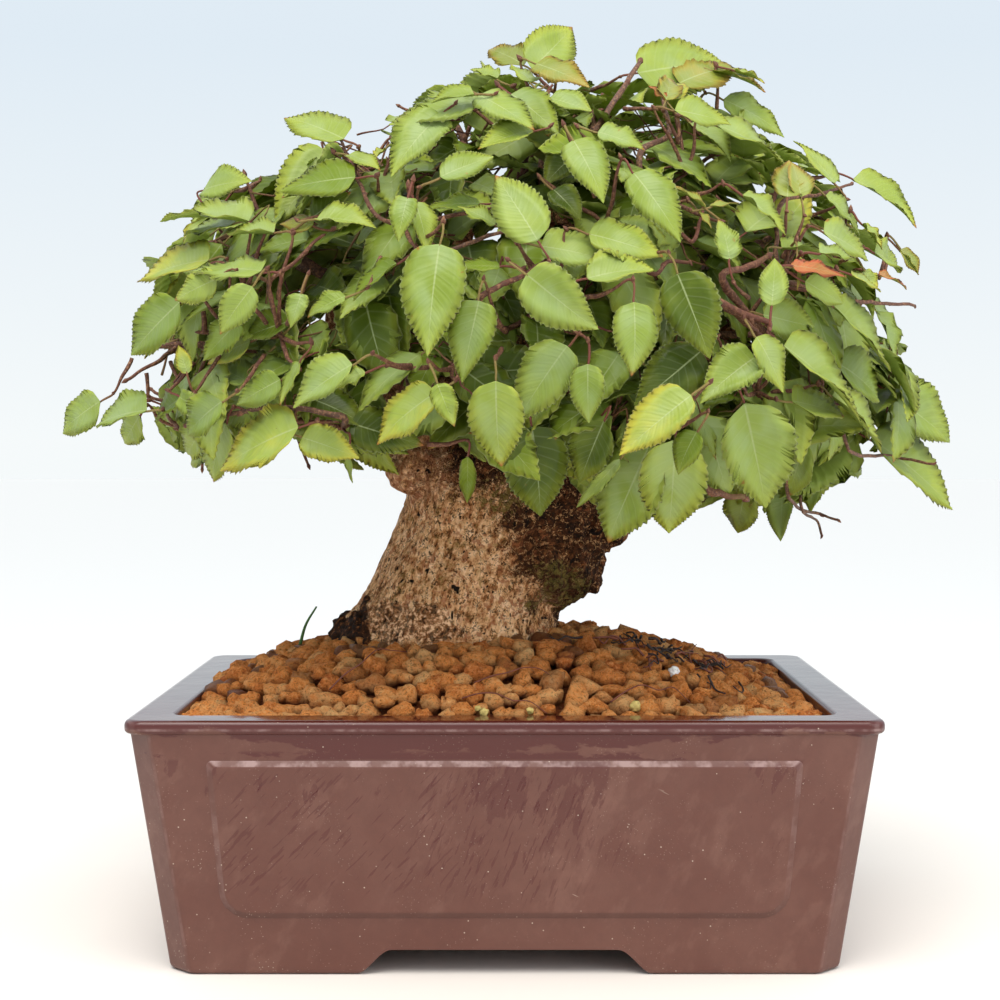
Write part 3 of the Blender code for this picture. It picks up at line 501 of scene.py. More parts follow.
@dataclass(frozen=True)
class StonewareFinish:
    """Unglazed purple-brown stoneware, wet near the rim, with run marks, mineral specks, painted highlights
    on its edges and painted shade on faces that look down.
    """

    dry: Colour = (0.106, 0.033, 0.021)
    dust: Colour = (0.168, 0.074, 0.052)
    # shade: the darker mottle, and painted shade on faces that look down
    shade: Colour = (0.070, 0.022, 0.015)
    wet: Colour = (0.069, 0.010, 0.007)
    # The pale colour below is a painted highlight on the panels' top edges, the ridges by the cut corners and
    # the rim's rounded edge.
    painted_highlight: Colour = (0.400, 0.270, 0.250)
    speck: Colour = (0.580, 0.470, 0.370)
    run_turn: float = -42.0

    def make(self) -> Material:
        """Builds the material from the piece's own coordinates, across and high being in mm.

        Returns:
            The material.
        """
        board = Board.of("stoneware")
        x, _, z = board.split(board.place)
        facing = board.split(board.add("ShaderNodeNewGeometry", output="Normal"))
        side, face, up = facing[0].absolute(), facing[1].absolute(), facing[2]
        across, high = x * 1000, z * 1000
        cloud = board.noise(26.0, 4.0, 0.6)
        mottle = board.noise(3.0, 4.0, 0.65)
        haze = board.noise(7.0, 4.0, 0.6, board.stretched(1.0, 0.5, self.run_turn * 0.6))
        # wall: painted shade on faces that look down, under the panels and the rim.
        wall = up.fall(-0.50, -0.26) * high.rise(7.0, 9.0) * high.fall(56.0, 57.0)
        wet, ledge = self.dampness(board, across, high, cloud, face)
        breaks = board.noise(5.0, 3.0, 0.6)
        # Painted highlights: the panels' upward bevels, the ridges by the cut corners and the rim's rounded
        # edge are lightened, broken by noise.
        bevel = up.rise(0.12, 0.30) * up.fall(0.55, 0.80) * high.fall(56.0, 57.0)
        ridge_highlight = side.rise(0.20, 0.34) * side.fall(0.48, 0.64)
        lip_highlight = (high - 59.85).absolute().fall(0.10, 0.50)
        edges = bevel * (0.62 - ledge * 0.6) + ridge_highlight * 0.13 + lip_highlight * breaks * 0.55
        dots = board.cells(2.4).fall(0.05, 0.09) * board.noise(5.5, 1.0).rise(0.50, 0.58)
        fine = board.cells(0.8).fall(0.10, 0.20) * board.noise(10.0).rise(0.46, 0.62)
        corner = (across + high * 0.4).fall(-64.0, -34.0) * high.fall(22.0, 36.0)
        scuff = board.noise(1.0, 2.0, 0.6, board.stretched(0.12, 1.0, -24.0)).rise(0.70, 0.76)
        scuff = scuff * board.noise(12.0).rise(0.60, 0.70)
        colour = board.coats(
            self.dry, (cloud.rise(0.35, 0.75) * 0.40 + haze.rise(0.52, 0.66) * 0.35, self.dust),
            (mottle.rise(0.3, 0.8) * 0.25, self.shade), (wall * 0.45, self.shade), (wet, self.wet),
            (edges * (0.12 + breaks.rise(0.40, 0.62) * 0.85), self.painted_highlight),
            (dots * 0.6 + fine * (0.14 + corner * 0.40) + scuff * 0.3, self.speck))
        gloss = 0.40 + mottle * 0.10 - wet * 0.14 - up.rise(0.75, 0.95) * 0.24
        ripple = board.noise(1.3, 3.0) * 0.5 + board.noise(16.0) * 2.5
        return board.finish(Base_Color=colour, Roughness=gloss.highest(0.08),
                            Normal=board.bump(ripple, 0.10, 0.55), Specular_IOR_Level=0.5)

    def dampness(self, board: Board, across: Wire, high: Wire, cloud: Wire, face: Wire) -> tuple[Wire, Wire]:
        """Where water darkens the pot: a band under the rim, the panel's top edge and run marks.

        Args:
            board: the material's nodes.
            across: the place along X in mm.
            high: the height in mm.
            cloud: the soft noise that the marks wander with.
            face: how squarely the surface faces the front or the back.

        Returns:
            How wet it is, and the part that lies on the panel's top edge.
        """
        bell = across.rise(-74.0, -30.0) * across.fall(10.0, 66.0)
        ragged = board.noise(6.0, 5.0, 0.62, board.stretched(0.5, 1.2))
        top = (high + (ragged - 0.5) * 12 + bell * 4.5).rise(58.6, 59.4)
        ledge = (high - 53.6).absolute().fall(0.5, 1.5) * (ragged + bell * 0.25).rise(0.60, 0.66)
        runs, steep = (board.noise(0.85, place=board.stretched(1.0, 0.060, self.run_turn * share))
                       for share in (1.0, 0.5))
        strayed = across + (cloud - 0.5) * 60
        low = (high + (cloud - 0.5) * 60 * 0.3).rise(16.0, 24.0) * high.fall(49.0, 52.5)
        streaks = runs.rise(0.595, 0.640) * across.rise(-72.0, -64.0) * strayed.fall(-20.0, 8.0)
        steep = steep.rise(0.580, 0.630) * strayed.rise(-30.0, -8.0) * strayed.fall(12.0, 34.0)
        patches = board.noise(4.2, 5.0, 0.62, board.stretched(1.0, 0.32, self.run_turn * 0.4))
        middle = across.rise(-28.0, 2.0) * across.fall(14.0, 40.0)
        hung = (patches + (high - 53.0) * 0.0055 + middle * 0.16).rise(0.575, 0.620)
        hung = hung * high.rise(22.0, 38.0) * high.fall(52.2, 53.2)
        marks = (streaks + steep) * low * 0.62 + hung * 0.62
        return top.highest(ledge).highest(marks * face.rise(0.85, 0.95)), ledge


@dataclass(frozen=True)
class NetFinish:
    """Moulded plastic net of the drain screens."""

    colour: Colour = (0.020, 0.021, 0.022)
    scuffed: Colour = (0.045, 0.043, 0.040)

    def make(self) -> Material:
        """Builds the material.

        Returns:
            The material.
        """
        board = Board.of("plastic_net")
        grain = board.noise(0.8, 3.0)
        return board.finish(Base_Color=board.mix(grain.rise(0.4, 0.8), self.colour, self.scuffed),
                            Roughness=0.45 + grain * 0.25, Normal=board.bump(grain, 0.08, 0.5))


@dataclass(frozen=True)
class LitterFinish:
    """Bits on the soil: each point carries its own colour."""

    grime: Colour = (0.10, 0.055, 0.030)

    def make(self) -> Material:
        """Builds the material, which reads dye from the mesh.

        Returns:
            The material.
        """
        board = Board.of("soil_litter")
        dye = board.add("ShaderNodeAttribute", {"attribute_name": "dye"}, output="Color")
        grain = board.noise(0.7, 3.0, 0.6)
        colour = board.mix(grain.rise(0.35, 0.75) * 0.5, dye, self.grime, "MULTIPLY")
        return board.finish(Base_Color=colour, Roughness=0.55 + grain * 0.3,
                            Normal=board.bump(grain, 0.15, 0.6))


@dataclass(frozen=True)
class FloorFinish:
    """Pale floor, a little warmer close to the pot, and a little lighter there as painted light that lifts
    the pot's shadow.
    """

    # near is lighter than away as painted light that lifts the pot's shadow; its warmth is the floor's own
    # tint.
    near: Colour = (0.785, 0.730, 0.675)
    away: Colour = (0.700, 0.700, 0.692)

    def make(self) -> Material:
        """Builds the material, which changes with the distance from the pot in mm.

        Returns:
            The material.
        """
        board = Board.of("pale_floor")
        x, y, _ = board.split(board.place)
        reach = (x * x + y * y).maths("SQRT") * 1000
        tooth = board.noise(1.5)
        return board.finish(Base_Color=board.mix(reach.rise(110.0, 420.0), self.near, self.away),
                            Roughness=0.75 + tooth * 0.15, Normal=board.bump(tooth, 0.05, 0.3))


# Mesh helpers


class Noise:
    """Value noise on arrays of points, the same on each run."""

    def __init__(self, seed: int) -> None:
        """Keeps the seed that tells this noise from others."""
        self.seed = seed

    def corner(self, cell: Array) -> Array:
        """A number from 0 to 1 for each cell corner.

        Args:
            cell: (n, 3) whole numbers.

        Returns:
            One number for each.
        """
        mixed = cell[:, 0] * 73856093 ^ cell[:, 1] * 19349663 ^ cell[:, 2] * 83492791
        mixed = (mixed + self.seed * 2654435761) & 0xFFFFFFFF
        mixed = ((mixed ^ (mixed >> 15)) * 2246822519) & 0xFFFFFFFF
        mixed = ((mixed ^ (mixed >> 13)) * 3266489917) & 0xFFFFFFFF
        return ((mixed ^ (mixed >> 16)) & 0xFFFFFF) / float(0xFFFFFF)

    def at(self, points: Array, size: Union[float, Point]) -> Array:
        """Noise from -1 to 1.

        Args:
            points: (n, 3) places in mm.
            size: the width of its features in mm, one number or one for each axis.

        Returns:
            One value for each point.
        """
        spot = points / np.asarray(size, float)
        cell = np.floor(spot).astype(np.int64)
        part = spot - cell
        part = part * part * (3 - 2 * part)
        total = np.zeros(len(points))
        for corner in range(8):
            step = np.array([corner & 1, corner >> 1 & 1, corner >> 2 & 1])
            weight = np.prod(np.where(step, part, 1 - part), axis=1)
            total += weight * self.corner(cell + step)
        return total * 2 - 1


def rise(value: Array, low: float, high: float) -> Array:
    """A smooth step from 0 at low to 1 at high."""
    share = np.clip((value - low) / (high - low), 0, 1)
    return share * share * (3 - 2 * share)


def smooth_line(points: Sequence[Point], steps: int) -> Array:
    """A smooth curve through points of any dimension.

    Args:
        points: the points it passes through.
        steps: how many pieces it has between neighbours.

    Returns:
        The curve's points.
    """
    known = np.asarray(points, float)
    ends = np.vstack([2 * known[0] - known[1], known, 2 * known[-1] - known[-2]])
    t = np.linspace(0, 1, steps, endpoint=False)[:, None]
    pieces = []
    for a, b, c, d in zip(ends, ends[1:], ends[2:], ends[3:]):
        pieces.append(0.5 * (2 * b + (c - a) * t + (2 * a - 5 * b + 4 * c - d) * t**2
                             + (3 * b - a - 3 * c + d) * t**3))
    return np.vstack([*pieces, known[-1:]])


def unit(vector: Array) -> Array:
    """The vector or rows of vectors at length 1."""
    return vector / np.maximum(np.linalg.norm(vector, axis=-1, keepdims=True), 1e-9)


def pipe(path: Array, radii: Array, sides: int) -> tuple[Array, Array, Array]:
    """A closed round tube along a path.

    Args:
        path: (n, 3) points.
        radii: the radius at each.
        sides: its number of sides.

    Returns:
        Points, four-sided faces and three-sided faces of the caps.
    """
    count = len(path)
    ways = unit(np.gradient(path, axis=0))
    side = unit(np.cross(ways[0], (0.31, 0.52, 0.79)))
    turns = np.arange(sides) * 2 * math.pi / sides
    rings = []
    for point, way, radius in zip(path, ways, radii):
        side = unit(side - way * side.dot(way))
        other = np.cross(way, side)
        rings.append(point + radius * (np.outer(np.cos(turns), side) + np.outer(np.sin(turns), other)))
    step = np.arange(sides)
    after = (step + 1) % sides
    low = np.stack([step, after, after + sides, step + sides], 1)
    quads = np.vstack([low + k * sides for k in range(count - 1)])
    fan = np.arange(1, sides - 1)
    start = np.stack([0 * fan, fan + 1, fan], 1)
    end = np.stack([0 * fan, fan, fan + 1], 1) + (count - 1) * sides
    return np.vstack(rings), quads, np.vstack([start, end])


def ball(divisions: int) -> tuple[Array, Array]:
    """Points and triangles of a unit ball made from an icosahedron.

    Args:
        divisions: how fine it is.

    Returns:
        (n, 3) points and (m, 3) faces.
    """
    work = bmesh.new()
    bmesh.ops.create_icosphere(work, subdivisions=divisions, radius=1.0)
    points = np.array([v.co for v in work.verts])
    faces = np.array([[v.index for v in f.verts] for f in work.faces])
    work.free()
    return points, faces


class Batch:
    """Gathers many small meshes in millimetres and makes one piece of them."""

    def __init__(self, *carried: str) -> None:
        """Starts empty; carried names what each point carries, three numbers under each name.

        Args:
            carried: the names.
        """
        self.points: list[Array] = []
        self.quads: list[Array] = []
        self.triangles: list[Array] = []
        self.carried: dict[str, list[Array]] = {name: [] for name in carried}
        self.flat: list[Array] = []
        self.count = 0

    def add(self, points: Array, quads: Optional[Array] = None,
            triangles: Optional[Array] = None, **values: Any) -> None:
        """Adds one small mesh.

        Args:
            points: (n, 3) places in mm.
            quads: its four-sided faces.
            triangles: its three-sided faces.
            values: what its points carry, (n, 3) or three numbers for all of them.
        """
        for name, store in self.carried.items():
            store.append(np.broadcast_to(np.asarray(values[name], float), (len(points), 3)))
        if quads is not None:
            self.quads.append(quads + self.count)
        if triangles is not None:
            self.triangles.append(triangles + self.count)
        self.points.append(points)
        self.count += len(points)

    def build(self, name: str, finish: Material) -> Thing:
        """Makes the piece.

        Args:
            name: its name.
            finish: its material.

        Returns:
            The new object, smooth shaded.
        """
        quads, triangles = (np.vstack(faces) if faces else np.zeros((0, size), int)
                            for faces, size in ((self.quads, 4), (self.triangles, 3)))
        corners = np.concatenate([quads.ravel(), triangles.ravel()]).astype(np.int32)
        starts = np.concatenate([np.arange(len(quads)) * 4, quads.size + np.arange(len(triangles)) * 3])
        mesh = bpy.data.meshes.new(name)
        mesh.vertices.add(self.count)
        mesh.vertices.foreach_set("co", (np.vstack(self.points) * MM).astype(np.float32).ravel())
        mesh.loops.add(len(corners))
        mesh.loops.foreach_set("vertex_index", corners)
        mesh.polygons.add(len(starts))
        mesh.polygons.foreach_set("loop_start", starts.astype(np.int32))
        mesh.update(calc_edges=True)
        mesh.polygons.foreach_set("use_smooth", np.ones(len(starts), bool))
        for key, store in self.carried.items():
            carry(mesh, key, np.vstack(store))
        if self.flat:
            chart = mesh.uv_layers.new(name="OFBake")
            chart.uv.foreach_set("vector", np.vstack(self.flat).astype(np.float32).ravel())
        mesh.materials.append(finish)
        return place_in_scene(name, mesh)


def place_in_scene(name: str, data: Any) -> Thing:
    """A new object in the scene, made of that mesh, lamp or camera.

    Args:
        name: its name.
        data: the mesh, lamp or camera.

    Returns:
        The object.
    """
    made = bpy.data.objects.new(name, data)
    bpy.context.scene.collection.objects.link(made)
    return made


def carry(mesh: bpy.types.Mesh, name: str, values: Array) -> None:
    """Stores three numbers for each point of a mesh, under a name that a finish reads."""
    held = mesh.attributes.new(name, "FLOAT_VECTOR", "POINT")
    held.data.foreach_set("vector", values.astype(np.float32).ravel())


def dress(piece: Thing, finish: Material) -> None:
    """Gives a piece one finish."""
    piece.data.materials.clear()
    piece.data.materials.append(finish)


def hand_over(piece: Thing, slot: str, nodes: Iterable[str] = ()) -> None:
    """Attaches a finished piece to the body, hides the CAD nodes that it replaces and logs its slot.

    Args:
        piece: the object.
        slot: the name of its material slot, which is only logged.
        nodes: the CAD nodes that it stands for.
    """
    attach(piece, BODY)
    if nodes:
        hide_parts(*nodes)
    LOG.info("%s: %d faces, slot %s", piece.name, len(piece.data.polygons), slot)


# Solids, as in the construction


def make_object(name: str, shape: Shape) -> Thing:
    """An object from (points in mm, faces), with its faces turned outwards.

    Args:
        name: its name.
        shape: the points and faces.

    Returns:
        The object.
    """
    points, faces = shape
    mesh = bpy.data.meshes.new(name)
    mesh.from_pydata([Vector(p) * MM for p in points], [], faces)
    work = bmesh.new()
    work.from_mesh(mesh)
    bmesh.ops.recalc_face_normals(work, faces=work.faces)
    if work.calc_volume(signed=True) < 0:
        bmesh.ops.reverse_faces(work, faces=work.faces)
    work.to_mesh(mesh)
    work.free()
    return place_in_scene(name, mesh)


def bake(target: Thing) -> Thing:
    """Applies all modifiers of an object.

    Args:
        target: the object.

    Returns:
        The same object with its new mesh.
    """
    graph = bpy.context.evaluated_depsgraph_get()
    mesh = bpy.data.meshes.new_from_object(target.evaluated_get(graph))
    target.modifiers.clear()
    target.data = mesh
    return target


def combine(target: Thing, tools: list[Thing], operation: str) -> None:
    """One Boolean of target with all the tools, applied, with the tools then removed.

    Args:
        target: the object that is kept.
        tools: the objects that are joined to it or cut from it.
        operation: UNION or DIFFERENCE.
    """
    group = bpy.data.collections.new("tools")
    bpy.context.scene.collection.children.link(group)
    for tool in tools:
        bpy.context.scene.collection.objects.unlink(tool)
        group.objects.link(tool)
    modifier = target.modifiers.new("join", "BOOLEAN")
    modifier.operation = operation
    modifier.operand_type = "COLLECTION"
    modifier.collection = group
    modifier.solver = "EXACT"
    bake(target)
    for tool in tools:
        bpy.data.objects.remove(tool, do_unlink=True)
    bpy.data.collections.remove(group)


def loft(rings: Sequence[Sequence[Point]]) -> Shape:
    """A closed solid through rings of equally many points, capped flat at both ends.

    Args:
        rings: the points of each ring, in order.

    Returns:
        Points and faces.
    """
    count = len(rings[0])
    last = (len(rings) - 1) * count
    faces = [tuple(range(count))]
    for low in range(0, last, count):
        for i in range(count):
            j = (i + 1) % count
            faces.append((low + i, low + j, low + count + j, low + count + i))
    faces.append(tuple(range(last + count - 1, last - 1, -1)))
    return [p for ring in rings for p in ring], faces


def tube(path: Sequence[Vector], radii: Sequence[float], sides: int,
         first: Optional[Vector] = None) -> Shape:
    """A tapering tube along a path.

    Args:
        path: its points.
        radii: the radius at each.
        sides: its number of sides.
        first: the way that its first ring is square to, if not the path's own.

    Returns:
        Points and faces.
    """
    side = None
    rings = []
    for k, (point, radius) in enumerate(zip(path, radii)):
        along = (path[min(k + 1, len(path) - 1)] - path[max(k - 1, 0)]).normalized()
        if first and not k:
            along = first
        if side is None:
            side = along.orthogonal().normalized()
        side = (side - along * side.dot(along)).normalized()
        other = along.cross(side)
        turns = [FULL_TURN * i / sides for i in range(sides)]
        rings.append([point + (side * math.cos(t) + other * math.sin(t)) * radius for t in turns])
    return loft(rings)


def rectangle(half_x: float, half_y: float) -> list[tuple[float, float]]:
    """The four corners of a rectangle round the middle."""
    return [(half_x, half_y), (-half_x, half_y), (-half_x, -half_y), (half_x, -half_y)]


def fillet(outline: Sequence[tuple[float, float]], radius: float, steps: int) -> list[tuple[float, float]]:
    """A closed outline with every corner rounded.

    Args:
        outline: its corners.
        radius: the radius of the rounding.
        steps: the pieces in each corner.

    Returns:
        The rounded outline.
    """
    rounded = []
    for k, corner in enumerate(np.array(outline)):
        back = unit(np.array(outline[k - 1]) - corner)
        ahead = unit(np.array(outline[(k + 1) % len(outline)]) - corner)
        half = math.acos(float(np.clip(back.dot(ahead), -1, 1))) / 2
        reach = radius / math.tan(half)
        centre = corner + unit(back + ahead) * radius / math.sin(half)
        start, end = corner + back * reach - centre, corner + ahead * reach - centre
        for i in range(steps + 1):
            rounded.append(tuple(centre + unit(start * (steps - i) / steps + end * i / steps) * radius))
    return rounded


# Pot


@dataclass
class Pot:
    """Rectangular stoneware pot: tapering body, flat rim, raised panels and four feet."""

    rim_x: float = 180.0
    rim_y: float = 140.0
    foot_x: float = 162.0
    foot_y: float = 122.0
    height: float = 62.0
    band: float = 3.4
    proud: float = 0.3
    rim_width: float = 10.5
    rim_corner: float = 4.2
    chamfer: float = 5.5
    chamfer_edge: float = 2.4
    floor_under: float = 6.2
    floor_top: float = 12.0
    taper: float = 6.5
    skirt: float = 12.0
    arch_front: float = 36.0
    arch_side: float = 24.0
    arch_curve: float = 9.0
    panel_front: float = 70.5
    panel_side: float = 50.5
    panel_low: float = 14.0
    panel_high: float = 52.5
    panel_taper: float = 3.0
    panel_corner: float = 6.5
    panel_top_corner: float = 1.5
    panel_edge: tuple[tuple[float, float], ...] = (
        (-1.5, 0.0), (0.04, 0.05), (0.14, 0.20), (0.72, 1.25), (0.85, 1.6), (0.9, 2.1))
    drain_x: float = 38.0
    drain_radius: float = 6.5
    soft_edge: float = 0.6
    smooth_under: float = 32.0

    def body_half(self, z: float) -> tuple[float, float]:
        """Half width and half depth of the body at height z.

        Args:
            z: the height in mm.

        Returns:
            Half sizes along X and Y.
        """
        share = z / self.height
        half_x = (self.foot_x + (self.rim_x - self.foot_x) * share) / 2 - self.proud * share
        half_y = (self.foot_y + (self.rim_y - self.foot_y) * share) / 2 - self.proud * share
        return half_x, half_y

    def cavity_half(self, z: float) -> tuple[float, float]:
        """Half width and half depth of the inside at height z."""
        inward = self.taper * (self.height - z) / (self.height - self.floor_top)
        return self.rim_x / 2 - self.rim_width - inward, self.rim_y / 2 - self.rim_width - inward

    @staticmethod
    def oblong(half_x: float, half_y: float, radius: float, z: float) -> list[Point]:
        """A rectangle with round corners, at height z."""
        return [(x, y, z) for x, y in fillet(rectangle(half_x, half_y), radius, 8)]

    def body(self) -> Shape:
        """The tapering body with its cut corners softened.

        Returns:
            Points and faces.
        """
        rings = []
        for z, inset in ((0.0, 1.0), (0.25, 0.5), (0.7, 0.15), (1.4, 0.0), (self.height - 2.8, 0.0)):
            half_x, half_y = (h - inset for h in self.body_half(z))
            ring = []
            for sx, sy in rectangle(1, 1):
                pair = [(sx * half_x, sy * (half_y - self.chamfer)),
                        (sx * (half_x - self.chamfer), sy * half_y)]
                ring += pair if sx * sy > 0 else pair[::-1]
            rings.append([(x, y, z) for x, y in fillet(ring, self.chamfer_edge, 4)])
        return loft(rings)

    def rim(self) -> Shape:
        """The flat rim, its outer edge rounded.

        Returns:
            Points and faces.
        """
        low, high = self.height - self.band, self.height
        profile = ((low, 1.0), (low + 0.25, 0.45), (low + 0.7, 0.1), (low + 1.2, 0.0), (high - 1.3, 0.0),
                   (high - 0.75, 0.12), (high - 0.3, 0.45), (high - 0.06, 0.95), (high, 1.5))
        half_x, half_y = self.rim_x / 2, self.rim_y / 2
        return loft([self.oblong(half_x - d, half_y - d, self.rim_corner, z) for z, d in profile])

    def panel(self, half_width: float, axis: int, sign: int) -> Shape:
        """A raised panel with a soft edge, on one face.

        Args:
            half_width: half its width at the top.
            axis: 1 for the front and back, 0 for the sides.
            sign: which of the two.

        Returns:
            Points and faces.
        """
        low_out, high_out = (self.body_half(z)[axis] for z in (self.panel_low, self.panel_high))
        tall, middle = self.panel_high - self.panel_low, (self.panel_low + self.panel_high) / 2
        rings = []
        for lift, inset in self.panel_edge:
            square = rectangle(half_width - inset, tall / 2 - inset)
            top = fillet(square, self.panel_top_corner, 5)[:12]
            ring = []
            for across, height in top + fillet(square, self.panel_corner - inset, 5)[12:]:
                height += middle
                share = (height - self.panel_low) / tall
                across -= math.copysign(self.panel_taper * (1 - share), across)
                out = sign * (low_out + (high_out - low_out) * share + lift)
                ring.append((across, out, height) if axis else (out, across, height))
            rings.append(ring)
        return loft(rings)

    def arch(self, half: float, reach: float, axis: int) -> Shape:
        """The scalloped space between two feet, run right through.

        Args:
            half: half its width at the floor.
            reach: how far it runs each way.
            axis: 1 if it runs front to back, 0 from side to side.

        Returns:
            Points and faces.
        """
        curve = [(half - self.arch_curve * t, self.floor_under * (3 * t * t - 2 * t**3))
                 for t in (i / 12 for i in range(13))]
        wall = [(half, -2.0), *curve]
        profile = [(-across, z) for across, z in wall] + wall[::-1]
        return loft([[(across, run, z) if axis else (run, across, z) for across, z in profile]
                     for run in (-reach, reach)])

    def cutters(self) -> list[Thing]:
        """The inside, the space under the floor, the arches and the drain holes.

        Returns:
            One object for each.
        """
        top_x, top_y = self.cavity_half(self.height)
        inside = [self.oblong(*self.cavity_half(z), 4.0, z) for z in (self.floor_top, self.height - 1.1)]
        for z, out in ((-0.6, 0.12), (-0.2, 0.5), (0.0, 1.0), (2.0, 3.5)):
            inside.append(self.oblong(top_x + out, top_y + out, 4.0 + out, self.height + z))
        foot_x, foot_y = self.foot_x / 2 - self.skirt, self.foot_y / 2 - self.skirt
        shapes = [loft(inside), loft([self.oblong(foot_x, foot_y, 5.0, z) for z in (-2.0, self.floor_under)]),
                  self.arch(self.arch_front, self.rim_y, 1), self.arch(self.arch_side, self.rim_x, 0)]
        for x in (-self.drain_x, self.drain_x):
            path = [Vector((x, 0, z)) for z in (self.floor_under - 3, self.floor_top + 3)]
            shapes.append(tube(path, (self.drain_radius,) * 2, 32))
        return [make_object("cutter", shape) for shape in shapes]

    def soften(self, pot: Thing) -> None:
        """Rounds the sharp edges round the feet, as clay does.

        Args:
            pot: the pot, which is changed.
        """
        work = bmesh.new()
        work.from_mesh(pot.data)
        bmesh.ops.remove_doubles(work, verts=work.verts, dist=0.02 * MM)
        sharp = [e for e in work.edges if len(e.link_faces) == 2 and e.calc_face_angle(0) > 0.7
                 and all(v.co.z < (self.floor_under + 0.3) * MM for v in e.verts)]
        bmesh.ops.bevel(work, geom=sharp, offset=self.soft_edge * MM, segments=2, profile=0.5,
                        affect="EDGES", clamp_overlap=True)
        work.to_mesh(pot.data)
        work.free()

    def build(self) -> None:
        """Makes the pot and hands it over."""
        pot = make_object("pot_stoneware", self.body())
        shapes = [self.rim()]
        for half, axis in ((self.panel_front, 1), (self.panel_side, 0)):
            shapes += [self.panel(half, axis, sign) for sign in (-1, 1)]
        combine(pot, [make_object("part", shape) for shape in shapes], "UNION")
        combine(pot, self.cutters(), "DIFFERENCE")
        self.soften(pot)
        pot.data.shade_smooth()
        pot.data.set_sharp_from_angle(angle=math.radians(self.smooth_under))
        pot.modifiers.new("normals", "WEIGHTED_NORMAL").keep_sharp = True
        bake(pot)
        dress(pot, StonewareFinish().make())
        hand_over(pot, "stoneware", ["pot"])


@dataclass
class DrainScreens:
    """The two net screens over the drain holes, carried over from the CAD with a better finish."""

    nodes: tuple[str, ...] = ("screen_left", "screen_right")

    def dress(self) -> None:
        """Gives the CAD screens their finish."""
        net = NetFinish().make()
        for name in self.nodes:
            dress(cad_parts[name], net)
            LOG.info("%s: kept from the CAD", name)


# The crown's shape and the eye that sees it


@dataclass(frozen=True)
class Dome:
    """The egg-shaped dome that the leaves cover."""

    centre: tuple[float, float, float] = (0.0, 0.0, 142.0)
    reach_x: float = 110.0
    reach_y: float = 92.0
    reach_up: float = 89.0
    reach_down: float = 40.0

    def middle(self) -> Vector:
        """The centre as a vector."""
        return Vector(self.centre)

    def point(self, azimuth: float, elevation: float, share: float) -> Vector:
        """A point of the dome.

        Args:
            azimuth: degrees from the front towards +X.
            elevation: degrees above the centre's level.
            share: how far out it lies, 1 on the dome itself.

        Returns:
            The point in mm.
        """
        a, e = math.radians(azimuth), math.radians(elevation)
        up = self.reach_up if e > 0 else self.reach_down
        x, y, z = math.sin(a) * math.cos(e), -math.cos(a) * math.cos(e), math.sin(e)
        return self.middle() + Vector((self.reach_x * x, self.reach_y * y, up * z)) * share

    def up(self, point: Vector) -> float:
        """The reach above the centre, or below it for a point that lies lower."""
        return self.reach_up if point.z > self.centre[2] else self.reach_down

    def normal(self, point: Vector) -> Vector:
        """The way out of the dome at a point."""
        p = point - self.middle()
        return Vector((p.x / self.reach_x**2, p.y / self.reach_y**2, p.z / self.up(point) ** 2)).normalized()

    def level(self, point: Vector) -> float:
        """The share of the shell that a point lies on."""
        p = point - self.middle()
        return math.sqrt((p.x / self.reach_x) ** 2 + (p.y / self.reach_y) ** 2 + (p.z / self.up(point)) ** 2)

    def on_shell(self, point: Vector, share: float) -> Vector:
        """The point moved in or out until it lies on the shell of that share."""
        return self.middle() + (point - self.middle()) * (share / self.level(point))


DOME = Dome()


@dataclass(frozen=True)
class Eye:
    """The eye in front of the pot, and the square picture through which it sees the tree."""

    place: tuple[float, float, float] = (1.5, -520.0, 128.0)
    centre: tuple[float, float] = (511.0, 440.0)
    reach: float = 1918.0
    side: float = 1000.0
    lean: float = 5.0
    back: float = 14.0

    def way(self, px: float, py: float) -> Vector:
        """The way from the eye through a point of the picture."""
        return Vector(((px - self.centre[0]) / self.reach, 1.0, (self.centre[1] - py) / self.reach))

    def picture(self, point: Point) -> tuple[float, float]:
        """Where in the picture a point is seen."""
        x, y, z = (p - e for p, e in zip(point, self.place))
        return self.centre[0] + self.reach * x / y, self.centre[1] - self.reach * z / y

    def at(self, px: float, py: float, y: float) -> Vector:
        """The point seen at a place in the picture that lies at depth y."""
        return Vector(self.place) + self.way(px, py) * (y - self.place[1])

    def meets(self, px: float, py: float, rise_by: float) -> tuple[Vector, float, bool]:
        """A line of sight, and how far along it the dome is met or passed.

        Args:
            px: the place across the picture.
            py: the place down the picture.
            rise_by: how far off the dome, in mm.

        Returns:
            The line's way, the distance, and True if it meets the dome.
        """
        way = self.way(px, py)
        scale = 1 + rise_by / 100
        eye = Vector(self.place) - DOME.middle()
        up = DOME.reach_up if (Vector(self.place) + way * 500).z > DOME.centre[2] else DOME.reach_down + 12
        axes = Vector((DOME.reach_x * scale, DOME.reach_y * scale, up * scale))
        e = Vector(a / b for a, b in zip(eye, axes))
        w = Vector(a / b for a, b in zip(way, axes))
        half, whole = e.dot(w) / w.dot(w), (e.dot(e) - 1) / w.dot(w)
        inside = half * half - whole
        reach = -half - math.sqrt(inside) if inside > 0 else -half
        return way, reach, inside > 0

    def leaf(self, picture: Sequence[float], rise_by: float, push: float) -> tuple[Vector, Vector]:
        """Base and tip of a seen leaf, neither much nearer to the eye than the other.

        Args:
            picture: base x, base y, tip x and tip y in the picture.
            rise_by: how far off the dome, in mm.
            push: how far it is pushed back, in mm.

        Returns:
            Base and tip.
        """
        x0, y0, x1, y1 = picture
        way0, reach0, _ = self.meets(x0, y0, rise_by)
        way1, reach1, tip_in = self.meets(x1, y1, rise_by + 2)
        middle = push + ((reach0 + reach1) / 2 if tip_in else reach1 + self.back)
        lean = max(-self.lean, min(self.lean, (reach1 - reach0) / 2))
        return Vector(self.place) + way0 * (middle - lean), Vector(self.place) + way1 * (middle + lean)


EYE = Eye()


# Wood


